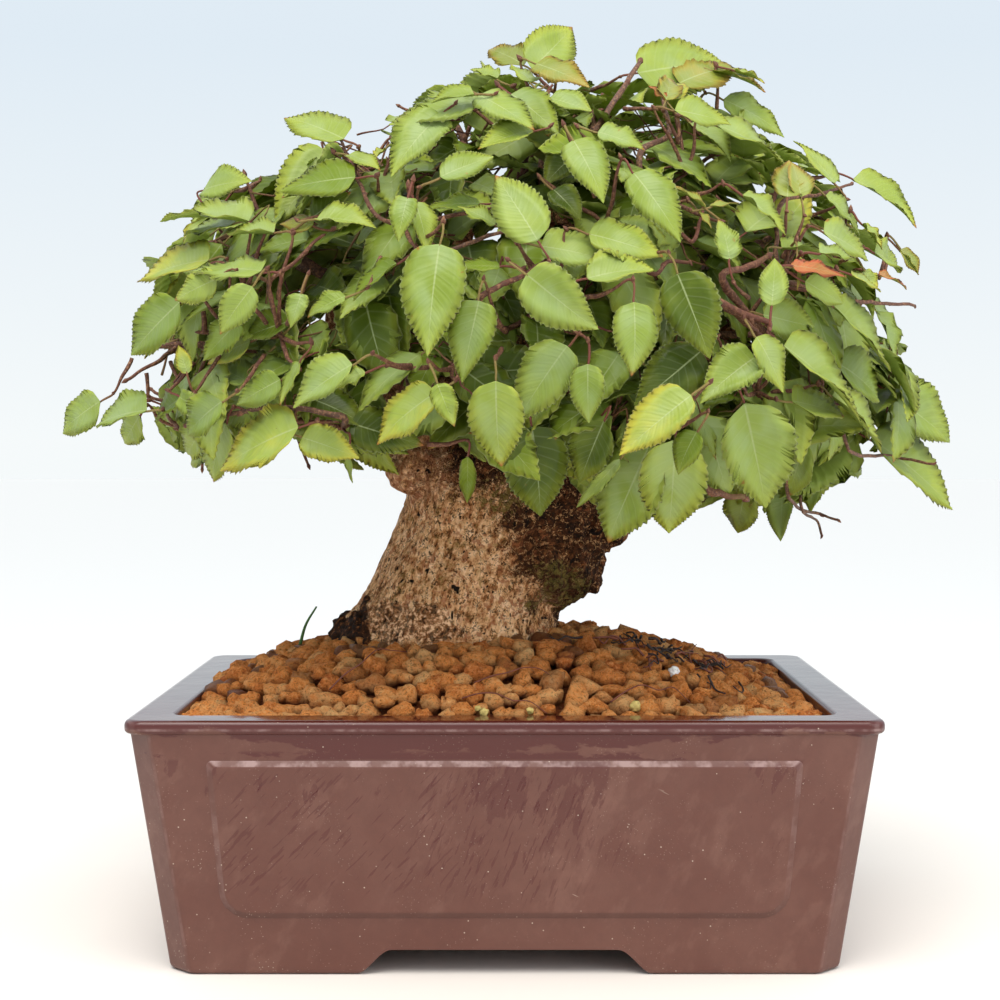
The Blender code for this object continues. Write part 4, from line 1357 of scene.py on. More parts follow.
@dataclass
class Wood:
    """The construction's trunk, burl and branches, which the leaves keep clear of."""

    rings: tuple[tuple[float, ...], ...] = (
        (-12.0, 0.0, 46.0, 15.0, 14.0),
        (-13.0, 0.0, 56.0, 22.0, 20.0),
        (-14.5, 0.0, 68.0, 29.5, 26.0),
        (-14.8, 0.0, 76.0, 29.6, 25.5),
        (-12.5, 0.0, 84.0, 26.8, 24.5),
        (-8.0, 0.5, 93.0, 26.5, 24.0),
        (-3.0, 1.0, 102.0, 27.5, 24.0),
        (1.5, 1.0, 110.0, 29.5, 24.0),
        (5.0, 1.0, 118.0, 31.0, 24.0),
        (6.5, 1.0, 126.0, 27.0, 22.0),
        (7.0, 1.0, 133.0, 19.0, 16.0),
        (7.0, 1.0, 138.0, 9.0, 8.0),
    )
    sides: int = 16
    relief: float = 1.3
    burl_centre: tuple[float, float, float] = (9.0, -2.0, 98.0)
    burl_radii: tuple[float, float, float] = (18.0, 20.0, 16.0)
    mains: tuple[tuple[tuple[float, ...], ...], ...] = (
        ((-12, -2, 112, 10.0), (-21, -4, 128, 8.5), (-34, -7, 140, 6.0), (-47, -9, 148, 4.8)),
        ((2, -6, 118, 9.0), (2, -19, 134, 6.5), (0, -34, 144, 4.8)),
        ((19, 0, 109, 14.0), (34, -3, 119, 10.5), (43, -6, 128, 6.5), (49, -7, 134, 4.8)),
        ((6, 8, 118, 10.0), (4, 24, 133, 7.0), (2, 38, 146, 4.8)),
        ((7, 1, 122, 12.0), (10, 2, 145, 9.0), (17, 2, 166, 7.0), (20, 1, 182, 4.8)),
        ((8, 1, 134, 8.0), (-4, 2, 154, 6.0), (-18, 4, 172, 4.6)),
    )
    spray_rings: tuple[tuple[float, int, float], ...] = (
        (-14.0, 10, 12.0), (12.0, 9, 0.0), (37.0, 8, 24.0), (61.0, 5, 8.0), (84.0, 2, 80.0))
    anchor_share: float = 0.56
    stem_share: float = 0.90
    end_radius: float = 2.0

    def bark(self, turn: float, z: float) -> float:
        """How far the bark stands out, as long ridges that wander round the trunk."""
        ridges = math.sin(5 * turn + 0.06 * z) + 0.6 * math.sin(9 * turn - 0.11 * z + 1.7)
        return self.relief * (0.55 * ridges + 0.35 * math.sin(3 * turn + 0.23 * z))

    def ring(self, row: Point, sides: int, extra: float = 0.0) -> list[Point]:
        """One ring of the trunk, with the bark's ridges.

        Args:
            row: its middle x, y and z, half width and half depth.
            sides: how many points it has.
            extra: how far it is grown.

        Returns:
            Its points.
        """
        x, y, z, half_x, half_y = row
        ring = []
        for i in range(sides):
            turn = FULL_TURN * i / sides
            out = extra + self.bark(turn, z) * min(1.0, half_x / 20)
            ring.append((x + (half_x + out) * math.cos(turn), y + (half_y + out) * math.sin(turn), z))
        return ring

    def trunk(self, extra: float) -> Shape:
        """The trunk grown by extra, its walls cut into triangles as in the construction.

        Args:
            extra: how far it is grown, in mm.

        Returns:
            Points and faces.
        """
        rings = [self.ring(row, self.sides, extra) for row in self.rings]
        rings[0] = [(x, y, z - extra) for x, y, z in rings[0]]
        points, faces = loft(rings)
        caps, walls = (faces[0], faces[-1]), faces[1:-1]
        return points, [*caps, *(half for a, b, c, d in walls for half in ((a, b, c), (a, c, d)))]

    def burl(self) -> Shape:
        """The rounded swelling low on the right of the trunk.

        Returns:
            Points and faces.
        """
        places, faces = ball(2)
        points = []
        for place in places.astype(np.float32).astype(float):
            lump = 1 + 0.07 * math.sin(4 * place[0] + 3 * place[2]) * math.cos(5 * place[1])
            points.append([c + r * k * lump for c, r, k in zip(self.burl_centre, self.burl_radii, place)])
        return points, [tuple(int(i) for i in f) for f in faces]

    def spray_places(self) -> list[tuple[Vector, Vector]]:
        """(branch end, stem tip) of each leafy spray, ring by ring round the crown.

        Returns:
            One pair for each spray.
        """
        places = []
        for elevation, count, first in self.spray_rings:
            for k in range(count):
                azimuth = first + 360 * k / count
                places.append((DOME.point(azimuth, elevation, self.anchor_share),
                               DOME.point(azimuth, elevation - 4, self.stem_share)))
        return places

    def side_branches(self) -> list[tuple[list[Vector], tuple[float, ...]]]:
        """The branch to each spray, from the nearest point of a main branch, with its radii.

        Returns:
            (path, radii) of each.
        """
        nodes = []
        for points in self.mains:
            for (*low, r0), (*high, r1) in zip(points, points[1:]):
                nodes += [(Vector(low).lerp(Vector(high), t), r0 + (r1 - r0) * t)
                          for t in (0.2, 0.45, 0.7, 0.92)]
        branches = []
        for end, _ in self.spray_places():
            start, radius = min(nodes, key=lambda n: (n[0] - end).length + 1.5 * n[1])
            bend = start.lerp(end, 0.6) + Vector((0, 0, 0.08 * (end - start).length))
            thick = min(3.4, radius * 0.75)
            branches.append(([start, bend, end],
                             (thick, 0.5 * (thick + self.end_radius), self.end_radius)))
        return branches

    def walls(self) -> list[Shape]:
        """Everything that the leaves keep clear of.

        Returns:
            One shape for each part.
        """
        mains = [tube([Vector(p[:3]) for p in points], [p[3] + GAP for p in points], 7)
                 for points in self.mains]
        sides = [tube(path, [r + GAP for r in radii], 4) for path, radii in self.side_branches()]
        return [self.trunk(GAP), self.burl(), *mains, *sides]


@dataclass
class BarkSkin:
    """The visible wood: the same trunk and branches, grown round and given their bark."""

    wood: Wood
    voxel: float = 0.70
    side_share: float = 0.8
    round_sides: int = 72
    left_stump: tuple[float, ...] = (-24.5, -9.0, 121.0, 7.5)
    char_at: Oval = ((-41.0, 72.0), (8.0, 11.0))
    moss_at: Oval = ((14.0, 89.0), (10.0, 8.0))
    upper_moss_at: Oval = ((-2.0, 113.0), (9.0, 8.0))
    crust_at: Oval = ((-26.0, 80.0), (13.0, 5.5))
    stump_at: Oval = ((-24.0, 121.0), (10.0, 9.0))
    stubs: tuple[tuple[tuple[float, ...], ...], ...] = (
        ((36, -8, 120, 6.0), (46, -24, 116, 4.6), (51, -30, 115, 4.2)),
        ((44, -8, 150, 2.6), (60, -28, 157, 1.8), (68, -34, 156, 1.2)),
        ((10, -4, 176, 5.0), (20, -12, 187, 4.0), (33, -16, 189, 3.0)),
        ((-22, -6, 134, 3.4), (-42, -28, 141, 2.4), (-62, -34, 136, 1.6), (-80, -34, 133, 1.0)),
        ((30, -6, 150, 3.6), (24, -26, 162, 2.4), (12, -34, 168, 1.5)),
        ((2, -20, 140, 3.6), (14, -38, 150, 2.2), (22, -50, 148, 1.3)),
    )

    def trunk(self) -> Shape:
        """The trunk with its rings made smooth and close."""
        return loft([self.wood.ring(row, self.round_sides) for row in smooth_line(self.wood.rings, 5)])

    def limb(self, points: Sequence[Point], steps: int, sides: int, wander: float) -> Shape:
        """A branch as a smooth, slightly wandering tube.

        Args:
            points: x, y, z and radius at each bend.
            steps: pieces between bends.
            sides: its number of sides.
            wander: how far it strays, in mm.

        Returns:
            Points and faces.
        """
        line = smooth_line(points, steps)
        path, radii = line[:, :3], line[:, 3]
        for axis in range(3):
            path[1:-1, axis] += Noise(40 + axis).at(path[1:-1], 7.0) * wander
        radii = radii * (1 + 0.10 * Noise(44).at(path, 5.0))
        return tube([Vector(p) for p in path], list(radii), sides)

    @staticmethod
    def gather(name: str, shapes: list[Shape]) -> Thing:
        """One object of several shapes.

        Args:
            name: its name.
            shapes: points and faces of each.

        Returns:
            The object.
        """
        points, faces = [], []
        for shape_points, shape_faces in shapes:
            faces += [tuple(i + len(points) for i in face) for face in shape_faces]
            points += [tuple(p) for p in shape_points]
        return make_object(name, (points, faces))

    def branches(self) -> Thing:
        """The side branches and the long stubs.

        Returns:
            The object.
        """
        shapes = []
        for path, radii in self.wood.side_branches():
            shapes.append(self.limb([(*p, r * self.side_share) for p, r in zip(path, radii)], 12, 10, 1.0))
        shapes += [self.limb(points, 12, 10, 1.0) for points in self.stubs]
        return self.gather("branches", shapes)

    def solid(self) -> Thing:
        """The trunk, burl, main branches and stump, run together by a voxel remesh.

        Returns:
            The object.
        """
        centre, radius = Vector(self.left_stump[:3]), self.left_stump[3]
        points, faces = ball(3)
        stump = ([tuple(centre + Vector(p) * radius) for p in points],
                 [tuple(int(i) for i in f) for f in faces])
        mains = [self.limb(points, 6, 16, 0.6) for points in self.wood.mains]
        made = self.gather("trunk", [self.trunk(), self.wood.burl(), *mains, stump])
        modifier = made.modifiers.new("run_together", "REMESH")
        modifier.mode = "VOXEL"
        modifier.voxel_size = self.voxel * MM
        modifier.use_smooth_shade = True
        blend = made.modifiers.new("blend", "SMOOTH")
        blend.factor = 0.5
        blend.iterations = 16
        return bake(made)

    @staticmethod
    def spot(x: Array, z: Array, oval: Oval) -> Array:
        """Less the distance from an oval's middle as seen from the front, -1 being its edge.

        Args:
            x: places across, in mm.
            z: heights, in mm.
            oval: its middle and its half sizes.

        Returns:
            One value for each place.
        """
        (middle_x, middle_z), (half_x, half_z) = oval
        return -np.hypot((x - middle_x) / half_x, (z - middle_z) / half_z)

    def trunk_share(self, points: Array, line: Array) -> Array:
        """How far each point belongs to the trunk or the burl, 1, and not to a branch, 0.

        Args:
            points: places on the wood.
            line: the trunk's smooth rings.

        Returns:
            One value for each point.
        """
        x, y, z = points.T
        middle, half_x, half_y = (np.interp(z, line[:, 2], line[:, k]) for k in (0, 3, 4))
        trunk = rise(-np.hypot((x - middle) / half_x, y / half_y), -1.35, -1.12)
        trunk *= rise(-z, -140.0, -134.0)
        swell = (points - self.wood.burl_centre) / self.wood.burl_radii
        return np.maximum(trunk, rise(-np.linalg.norm(swell, axis=1), -1.45, -1.20))

    def roughen(self, made: Thing) -> None:
        """Raises the bark and stores what the finish reads.

        Args:
            made: the wood, which is changed.
        """
        mesh = made.data
        flat = np.zeros(len(mesh.vertices) * 3, np.float32)
        mesh.vertices.foreach_get("co", flat)
        points = flat.reshape(-1, 3).astype(float) / MM
        mesh.vertex_normals.foreach_get("vector", flat)
        normals = flat.reshape(-1, 3).astype(float)
        x, y, z = points.T
        line = smooth_line(self.wood.rings, 5)
        trunk = self.trunk_share(points, line)
        coarse, fine = Noise(1).at(points, 6.0), Noise(2).at(points, 2.3)
        side = (x + 3.7 - 0.52 * (110.0 - z)) / np.interp(z, line[:, 2], line[:, 3])
        side += 0.28 * coarse + 0.30 * Noise(3).at(points, 14.0) + 0.15 * fine
        dark = np.maximum(rise(side, -0.52, 0.46), rise(z + 3.5 * coarse, 110.0, 120.0))
        dark *= rise(z, 70.0, 84.0) * 0.35 + 0.65
        slanted = points + np.stack([0.25 * z, 0 * z, 0 * z], 1)
        fibre = Noise(4).at(slanted, (1.7, 1.7, 4.5)) + 0.6 * Noise(14).at(slanted, (3.6, 3.6, 12.0))
        gnarl, gnarl2 = (1 - 2 * np.abs(Noise(seed).at(points, size)) for seed, size in ((5, 5.4), (6, 2.8)))
        gnarl3 = Noise(16).at(points, 1.5)
        pit = rise(Noise(7).at(slanted, (1.0, 1.0, 1.5)) + 0.30 * fine + 0.15 * coarse, 0.62, 0.90)
        char = self.spot(x, z, self.char_at) + 0.55 * coarse + 0.35 * fine
        char = rise(char, -1.20, -0.60) * (y < 20)
        moss = rise(self.spot(x, z, self.moss_at) + 0.5 * coarse, -1.4, -0.3) * (y < 4)
        moss = np.maximum(moss, 0.7 * rise(self.spot(x, z, self.upper_moss_at), -1.3, -0.5) * (y < 0))
        crust = rise(self.spot(x, z, self.crust_at) + 0.4 * coarse, -1.3, -0.6) * (y < 4)
        stump = rise(self.spot(x, z, self.stump_at), -1.3, -0.8)
        out = 0.38 * fibre * (1 - dark) + dark * (1.25 * gnarl + 0.85 * gnarl2 + 0.45 * gnarl3 - 0.3)
        out -= 0.60 * pit * (1 - 0.4 * dark)
        out += char * (1.0 + 1.6 * Noise(8).at(points, 3.0) + 1.1 * gnarl3)
        out += moss * (0.3 + 0.6 * Noise(9).at(points, 1.7))
        out += crust * (0.5 * gnarl3 + 0.4 * gnarl2)
        limb = 0.30 * fine + 0.40 * Noise(10).at(points, 4.0) + 0.35 * Noise(15).at(points, 1.6)
        out = trunk * out + (1 - trunk) * limb
        points = points + normals * out[:, None]
        mesh.vertices.foreach_set("co", (points * MM).astype(np.float32).ravel())
        shade = dark * np.maximum(trunk, 0.45) * (1 - 0.6 * stump)
        carry(mesh, "bark", np.stack([shade, moss, pit * trunk], 1))
        carry(mesh, "limb", np.stack([np.maximum(1 - trunk, stump) * 0.8, char, crust], 1))
        mesh.update()

    def build(self) -> None:
        """Makes the visible wood and hands it over."""
        bark = BarkFinish().make()
        for made in (self.solid(), self.branches()):
            self.roughen(made)
            made.data.shade_smooth()
            dress(made, bark)
            hand_over(made, "bark", ["tree_wood"])


# Soil


@dataclass
class SoilBed:
    """A mound of clay granules that fills the pot."""

    pot: Pot
    edge: float = 60.2
    crown: float = 17.3
    mound_x: float = 80.0
    mound_y: float = 60.0
    shift: float = -4.0
    sunk: float = 2.6
    play: float = 0.35
    columns: int = 48
    rows: int = 36
    grains: int = 1500
    tries: int = 60000
    loose_tries: int = 18000
    crowding: tuple[float, float] = (0.84, 0.68)
    fine_radius: float = 2.2
    hole: tuple[float, float, float] = (-14.0, 26.0, 22.0)
    front: float = -26.0
    back: float = 8.0
    coarse_until: float = -22.0
    stages: tuple[tuple[float, float, float], ...] = ((0.26, 2.8, 4.1), (0.62, 2.0, 2.9), (1.0, 1.1, 1.9))
    damp_spots: tuple[tuple[float, float, float], ...] = (
        (-68.0, -18.0, 13.0), (-58.0, 2.0, 9.0), (70.0, -6.0, 14.0), (58.0, 20.0, 12.0), (-30.0, -22.0, 9.0),
        (10.0, -21.0, 8.0))

    def height(self, x: Any, y: Any) -> Any:
        """Height of the soil at a place, for numbers or arrays."""
        rho = np.hypot((x - self.shift) / self.mound_x, y / self.mound_y)
        return self.edge + self.crown * (1 - np.minimum(rho, 1.0) ** 2.4)

    def seen_at(self, px: float, py: float) -> Vector:
        """The place on the mound that is seen at a point of the picture.

        Args:
            px: how far right in the picture.
            py: how far down in the picture.

        Returns:
            The place in mm.
        """
        for y in np.arange(-62.0, 55.0, 0.5):
            point = EYE.at(px, py, float(y))
            if point.z < self.height(point.x, point.y):
                return point
        return EYE.at(px, py, 0.0)

    def bed(self) -> Shape:
        """The block of fine soil under the granules.

        Returns:
            Points and faces.
        """
        half_x, half_y = (h - self.play for h in self.pot.cavity_half(self.edge))
        low_x, low_y = (h - self.play for h in self.pot.cavity_half(self.pot.floor_top))
        xs, ys = np.linspace(-half_x, half_x, self.columns), np.linspace(-half_y, half_y, self.rows)
        top = [(x, y, float(self.height(x, y)) - self.sunk) for y in ys for x in xs]
        under = [(x * low_x / half_x, y * low_y / half_y, self.pot.floor_top + GAP) for x, y, _ in top]
        grid, faces = np.arange(len(top)).reshape(self.rows, self.columns), []
        for a in grid[:-1, :-1].ravel().tolist():
            cell = (a, a + 1, a + 1 + self.columns, a + self.columns)
            faces += [cell, tuple(len(top) + k for k in reversed(cell))]
        border = np.concatenate([grid[::-1, 0], grid[0, 1:], grid[1:, -1], grid[-1, -2:0:-1]]).tolist()
        for a, b in zip(border, border[1:] + border[:1]):
            faces.append((a, len(top) + a, len(top) + b, b))
        return top + under, faces

    def places(self, draw: Chance) -> list[tuple[float, float, float, float]]:
        """Where granules lie: x, y, z and radius, the large ones first and the small ones between.

        Args:
            draw: the source of chance.

        Returns:
            One row for each granule.
        """
        half_x, half_y = (h - 0.8 for h in self.pot.cavity_half(self.edge))
        found: list[tuple[float, float, float, float]] = []
        grid: dict[tuple[int, int], list[int]] = {}
        cell, tries = 9.0, 0
        middle, reach_x, reach_y = self.hole
        while len(found) < self.grains and tries < self.tries:
            tries += 1
            radius = draw.uniform(*next(s[1:] for s in self.stages if len(found) / self.grains < s[0]))
            x = draw.uniform(-half_x + radius * 0.75, half_x - radius * 0.75)
            y = draw.uniform(-half_y + radius * 0.75, half_y - radius * 0.75)
            if math.hypot((x - middle) / (reach_x - radius), y / (reach_y - radius)) < 1:
                continue
            key = (int(x // cell), int(y // cell))
            near = [found[n] for i in (-1, 0, 1) for j in (-1, 0, 1)
                    for n in grid.get((key[0] + i, key[1] + j), ())]
            share = self.crowding[tries >= self.loose_tries]
            if any(math.hypot(x - a, y - b) < share * (radius + r) for a, b, _, r in near):
                continue
            sink = 0.35 * radius if radius > self.fine_radius else draw.uniform(-0.9, 0.6) * radius
            grid.setdefault(key, []).append(len(found))
            found.append((x, y, float(self.height(x, y)) - self.sunk + 1.9 - sink * 0.6, radius))
        return found

    def granule(self, points: Array, radius: float, draw: Chance) -> Array:
        """One lumpy, weathered granule round the origin.

        Args:
            points: a unit ball's points.
            radius: its radius in mm.
            draw: the source of chance.

        Returns:
            Its points.
        """
        stretch = np.array([draw.uniform(0.95, 1.18), draw.uniform(0.85, 1.05), draw.uniform(0.75, 0.98)])
        place = points + np.array([draw.uniform(-500, 500) for _ in range(3)])
        lump = 1 + 0.24 * Noise(11).at(place, 1.0) + 0.30 * Noise(12).at(place, 0.5)
        lump = lump + 0.28 * Noise(13).at(place, 0.27)
        shape = points * lump[:, None]
        for _ in range(7):
            way = unit(np.array([draw.gauss(0, 1) for _ in range(3)]))
            over = np.maximum(shape @ way - draw.uniform(0.54, 0.80), 0)
            shape = shape - np.outer(over * 0.75, way)
        turn = Matrix.Rotation(draw.uniform(0, 6.28), 3, "Z") @ Matrix.Rotation(draw.gauss(0, 0.35), 3, "X")
        return (shape * 1.12 * stretch * radius) @ np.array(turn).T

    def build(self) -> None:
        """Makes the bed and its granules and hands them over."""
        clay = ClayFinish().make()
        bed = make_object("soil_bed", self.bed())
        dress(bed, clay)
        # The bed is darkened through all three values, damp included: painted shade in the gaps between the
        # granules.
        carry(bed.data, "grain", np.tile((0.05, 0.55, 0.5), len(bed.data.vertices)))
        hand_over(bed, "clay_granules", ["soil"])
        draw = Chance(SEED + 5)
        coarse, fine = ball(3), ball(2)
        batches = {name: Batch("grain") for name in ("granules_front", "granules_middle", "granules_back")}
        for x, y, z, radius in self.places(draw):
            name = "granules_middle" if y < self.back else "granules_back"
            name = "granules_front" if y < self.front else name
            points, faces = coarse if radius > self.fine_radius and y < self.coarse_until else fine
            shape = self.granule(points, radius, draw)
            # depth darkens each granule towards its bottom as painted shade.
            depth = rise(-shape[:, 2] / radius, -0.50, 0.60)
            damp = max(math.exp(-((x - a) ** 2 + (y - b) ** 2) / (r * r)) for a, b, r in self.damp_spots)
            shade = min(1.0, max(0.0, draw.gauss(0.66, 0.18) + 0.10 * (y < -44)))
            wet = 1.0 if draw.random() < damp * 0.36 else (0.5 if draw.random() < 0.03 else 0.0)
            grain = np.stack([np.full_like(depth, shade), np.full_like(depth, wet), depth], 1)
            batches[name].add(shape + (x, y, z), triangles=faces, grain=grain)
        for name, batch in batches.items():
            hand_over(batch.build(name, clay), "clay_granules", ["soil"])


# Leaves


class Tone(Enum):
    """How a leaf is tinted: yellow, bronze, lightness and darkness, each 0 to 1."""

    DARK = (0.0, 0.0, 0.12, 0.62)
    GREEN = (0.08, 0.0, 0.52, 0.05)
    LIGHT = (0.15, 0.0, 0.85, 0.0)
    LIME = (0.50, 0.0, 0.85, 0.0)
    YELLOW = (0.88, 0.0, 0.95, 0.0)
    BRONZE = (0.35, 0.55, 0.62, 0.0)
    RED = (0.40, 1.00, 0.50, 0.0)


TONES = {"d": Tone.DARK, "g": Tone.GREEN, "l": Tone.LIGHT, "m": Tone.LIME, "y": Tone.YELLOW,
         "b": Tone.BRONZE, "r": Tone.RED}

# The tone of each leaf of SEEN_LEAVES, in its order
SEEN_TONES = (
    "mlygmgmllldgydlmmlgmdggmmyydd"
    "ymmldddgylmgllllddgmllllmmlllgggmgddlmlmlggmggm"
    "mgmdbmlllllglmbbmmmbbmlml"
    "mbmmlmmbmblrlygmmgmglgmmg"
)


@dataclass
class Leaf:
    """One leaf: where its blade starts, how it lies, and where its stalk is rooted."""

    base: Vector
    along: Vector
    out: Vector
    length: float
    half_width: float
    root: Vector
    spray: int
    tone: Tone
    fine: bool = True
    sway: float = 1.0


# Leaves seen from the front: base and tip in the picture, roll in degrees, rise off the dome in mm
SEEN_LEAVES = (
    # Left flank
    (245, 222, 162, 207, 48, 2), (258, 272, 186, 262, 40, 3), (206, 262, 132, 269, 40, 1),
    (232, 225, 183, 227, 45, -2),
    (272, 234, 225, 232, 50, 0), (178, 305, 125, 355, 15, 2), (216, 280, 170, 300, 20, 4),
    (251, 289, 216, 332, 5, 5), (301, 296, 291, 326, 0, 6), (344, 298, 306, 314, 20, 3),
    (288, 323, 242, 336, 20, -4), (239, 323, 200, 359, 15, -2), (249, 343, 204, 362, 30, -5),
    (295, 352, 241, 359, 25, -8), (350, 367, 287, 403, 25, 5), (300, 365, 277, 404, 60, 1),
    (364, 374, 331, 385, 30, 1), (99, 403, 53, 432, 20, 0), (145, 412, 91, 417, 40, 2),
    (140, 417, 120, 447, 15, -1), (183, 399, 149, 417, 35, -3), (221, 403, 178, 434, 10, 3),
    (279, 381, 234, 405, 15, 0), (205, 428, 180, 459, 20, -4), (226, 426, 200, 484, 15, -1),
    (295, 430, 209, 463, 28, 3), (305, 439, 357, 455, 10, 1), (354, 425, 420, 443, 15, -6),
    (311, 400, 366, 417, 20, -7),
    # Front
    (434, 395, 369, 438, 25, 4), (438, 386, 454, 427, 0, 7), (496, 385, 497, 472, 0, 6),
    (565, 350, 511, 420, 8, 2), (580, 414, 519, 434, 20, -6), (532, 430, 545, 519, 5, 0),
    (603, 424, 576, 487, 5, -2), (588, 367, 588, 423, 0, 5), (688, 399, 617, 451, 15, 8),
    (648, 450, 604, 549, 12, 1), (675, 444, 671, 543, 0, 5), (696, 434, 674, 474, 10, 9),
    (634, 306, 637, 373, 5, 7), (530, 277, 596, 329, 0, 9), (536, 238, 496, 169, 0, 6),
    (575, 144, 606, 195, 12, 7), (679, 278, 711, 357, 5, 4), (698, 354, 637, 406, 8, 0),
    (752, 360, 701, 395, 5, 4), (757, 340, 789, 391, 25, 6), (772, 304, 776, 257, 0, 8),
    (745, 408, 767, 512, 5, 5), (729, 258, 722, 217, 10, 5), (613, 232, 676, 236, 15, -5),
    (592, 236, 665, 252, 35, 2), (590, 279, 654, 262, 30, 3), (544, 248, 618, 258, 25, 1),
    (636, 177, 685, 236, 20, 3), (439, 250, 423, 354, 3, 8), (478, 305, 462, 381, 0, 4),
    (498, 268, 457, 266, 45, 2), (395, 266, 350, 297, 45, 1), (493, 225, 459, 203, 40, 2),
    (477, 205, 424, 203, 45, 0), (575, 156, 544, 179, 20, -6), (555, 192, 582, 217, 15, -3),
    (407, 201, 396, 237, 8, 6), (415, 205, 431, 246, 25, 3), (443, 177, 493, 153, 25, 4),
    (529, 132, 477, 145, 35, 1), (600, 134, 645, 146, 35, 1), (783, 249, 821, 250, 50, 0),
    (805, 443, 787, 497, 20, -4), (745, 492, 736, 536, 5, -6), (783, 497, 780, 541, 15, -8),
    (816, 480, 808, 512, 20, -8), (794, 403, 850, 412, 35, 0),
    # Top
    (341, 139, 284, 110, 35, 2), (352, 179, 276, 186, 35, 1), (350, 157, 379, 163, 55, 0),
    (314, 217, 350, 192, 25, -2), (312, 226, 279, 220, 25, -3), (320, 220, 373, 216, 50, 1),
    (207, 190, 247, 175, 40, -4), (478, 103, 388, 118, 52, 2), (472, 96, 431, 98, 45, 4),
    (439, 118, 386, 163, 20, 2), (482, 98, 535, 125, 38, 3), (514, 97, 561, 129, 25, 0),
    (552, 100, 591, 110, 40, 1), (534, 68, 578, 22, 5, 3), (539, 66, 588, 81, 40, 2),
    (522, 65, 484, 40, 30, 1), (496, 79, 470, 66, 45, -1), (529, 82, 514, 61, 45, 0),
    (642, 73, 736, 54, 20, 1), (682, 83, 738, 56, 30, 4), (715, 72, 768, 82, 55, 3),
    (677, 112, 733, 120, 35, 4), (726, 102, 789, 128, 30, 0), (720, 128, 795, 156, 50, 2),
    (693, 126, 736, 153, 40, -2),
    # Right flank
    (832, 182, 797, 137, 45, 1), (800, 196, 793, 160, 30, 3), (775, 202, 819, 172, 20, -2),
    (856, 182, 924, 213, 40, 2), (827, 198, 868, 230, 50, 0), (744, 198, 792, 227, 55, 4),
    (825, 234, 877, 254, 35, 2), (859, 234, 881, 249, 30, -2), (875, 254, 906, 268, 35, 1),
    (901, 251, 921, 273, 30, -1), (821, 254, 857, 253, 50, 5), (794, 267, 849, 271, 30, 7),
    (806, 283, 844, 305, 20, 3), (865, 272, 877, 289, 15, 1), (853, 294, 913, 326, 50, -1),
    (836, 310, 897, 365, 50, 0), (848, 346, 925, 392, 55, -3), (765, 316, 819, 329, 20, -3),
    (787, 350, 872, 412, 50, 3), (838, 365, 892, 394, 25, -3), (886, 392, 957, 441, 25, 0),
    (865, 397, 908, 430, 20, -3), (834, 399, 890, 446, 50, 2), (874, 443, 965, 499, 45, 0),
    (832, 450, 870, 475, 30, -3),
)

# Young and folded leaves: base and tip in the picture, rise off the dome in mm, width share, tone
SLENDER_LEAVES = (
    (703, 207, 670, 178, 4, 0.13, "b"), (711, 207, 739, 202, 4, 0.15, "b"),
    (700, 214, 712, 226, 3, 0.22, "b"), (665, 101, 651, 83, 3, 0.20, "r"),
    (666, 100, 673, 71, 4, 0.24, "b"), (668, 101, 686, 80, 2, 0.26, "y"),
    (852, 276, 884, 288, 3, 0.26, "y"), (880, 276, 911, 283, 2, 0.13, "r"),
    (900, 252, 922, 272, 1, 0.22, "y"), (863, 226, 884, 249, 2, 0.26, "y"),
    (793, 268, 849, 270, 6, 0.13, "r"), (797, 258, 800, 286, 3, 0.10, "b"),
    (350, 450, 350, 485, -4, 0.10, "l"), (468, 458, 468, 509, -16, 0.13, "g"),
    (618, 461, 571, 515, -2, 0.09, "l"), (735, 72, 766, 80, 2, 0.20, "y"),
    (787, 196, 790, 156, 4, 0.30, "b"), (188, 372, 178, 345, 0, 0.30, "y"),
    (182, 398, 205, 412, 0, 0.3, "g"), (383, 152, 374, 158, -2, 0.3, "y"),
)

# Twigs between the leaves: their bends in the picture, rise off the dome in mm, radius and age
SEEN_TWIGS = (
    (((594, 132), (618, 95), (640, 62)), -5, 1.25, 1.5),
    (((640, 152), (668, 134), (663, 98)), -3, 1.1, 1.5),
    (((377, 216), (358, 180), (341, 140)), -3, 0.75, 1.2),
    (((480, 300), (520, 278), (552, 257)), 2, 1.0, 1.1),
    (((440, 250), (476, 240), (504, 232)), -3, 0.8, 1.5),
    (((722, 280), (745, 268), (767, 257)), 2, 1.3, 0.9),
    (((713, 298), (740, 312), (768, 322)), 4, 1.35, 0.8),
    (((702, 486), (722, 494), (744, 497)), 0, 1.5, 0.8),
    (((850, 450), (890, 456), (934, 464)), -2, 0.7, 1.2),
    (((790, 498), (812, 512), (838, 520)), -4, 0.7, 1.6),
    (((800, 505), (816, 520), (822, 536)), -4, 0.6, 1.6),
    (((780, 206), (815, 195), (852, 184)), -2, 0.8, 1.2),
    (((690, 240), (698, 222), (703, 208)), 0, 0.7, 0.6),
    (((270, 284), (296, 262), (322, 236)), -3, 0.8, 1.1),
    (((340, 416), (270, 408), (186, 425)), -4, 1.1, 1.6),
    (((846, 300), (880, 303), (915, 306)), -3, 0.8, 1.0),
    (((650, 272), (668, 262), (690, 262)), -2, 0.8, 0.9),
    (((205, 270), (240, 268), (268, 282)), -2, 0.8, 0.8),
)

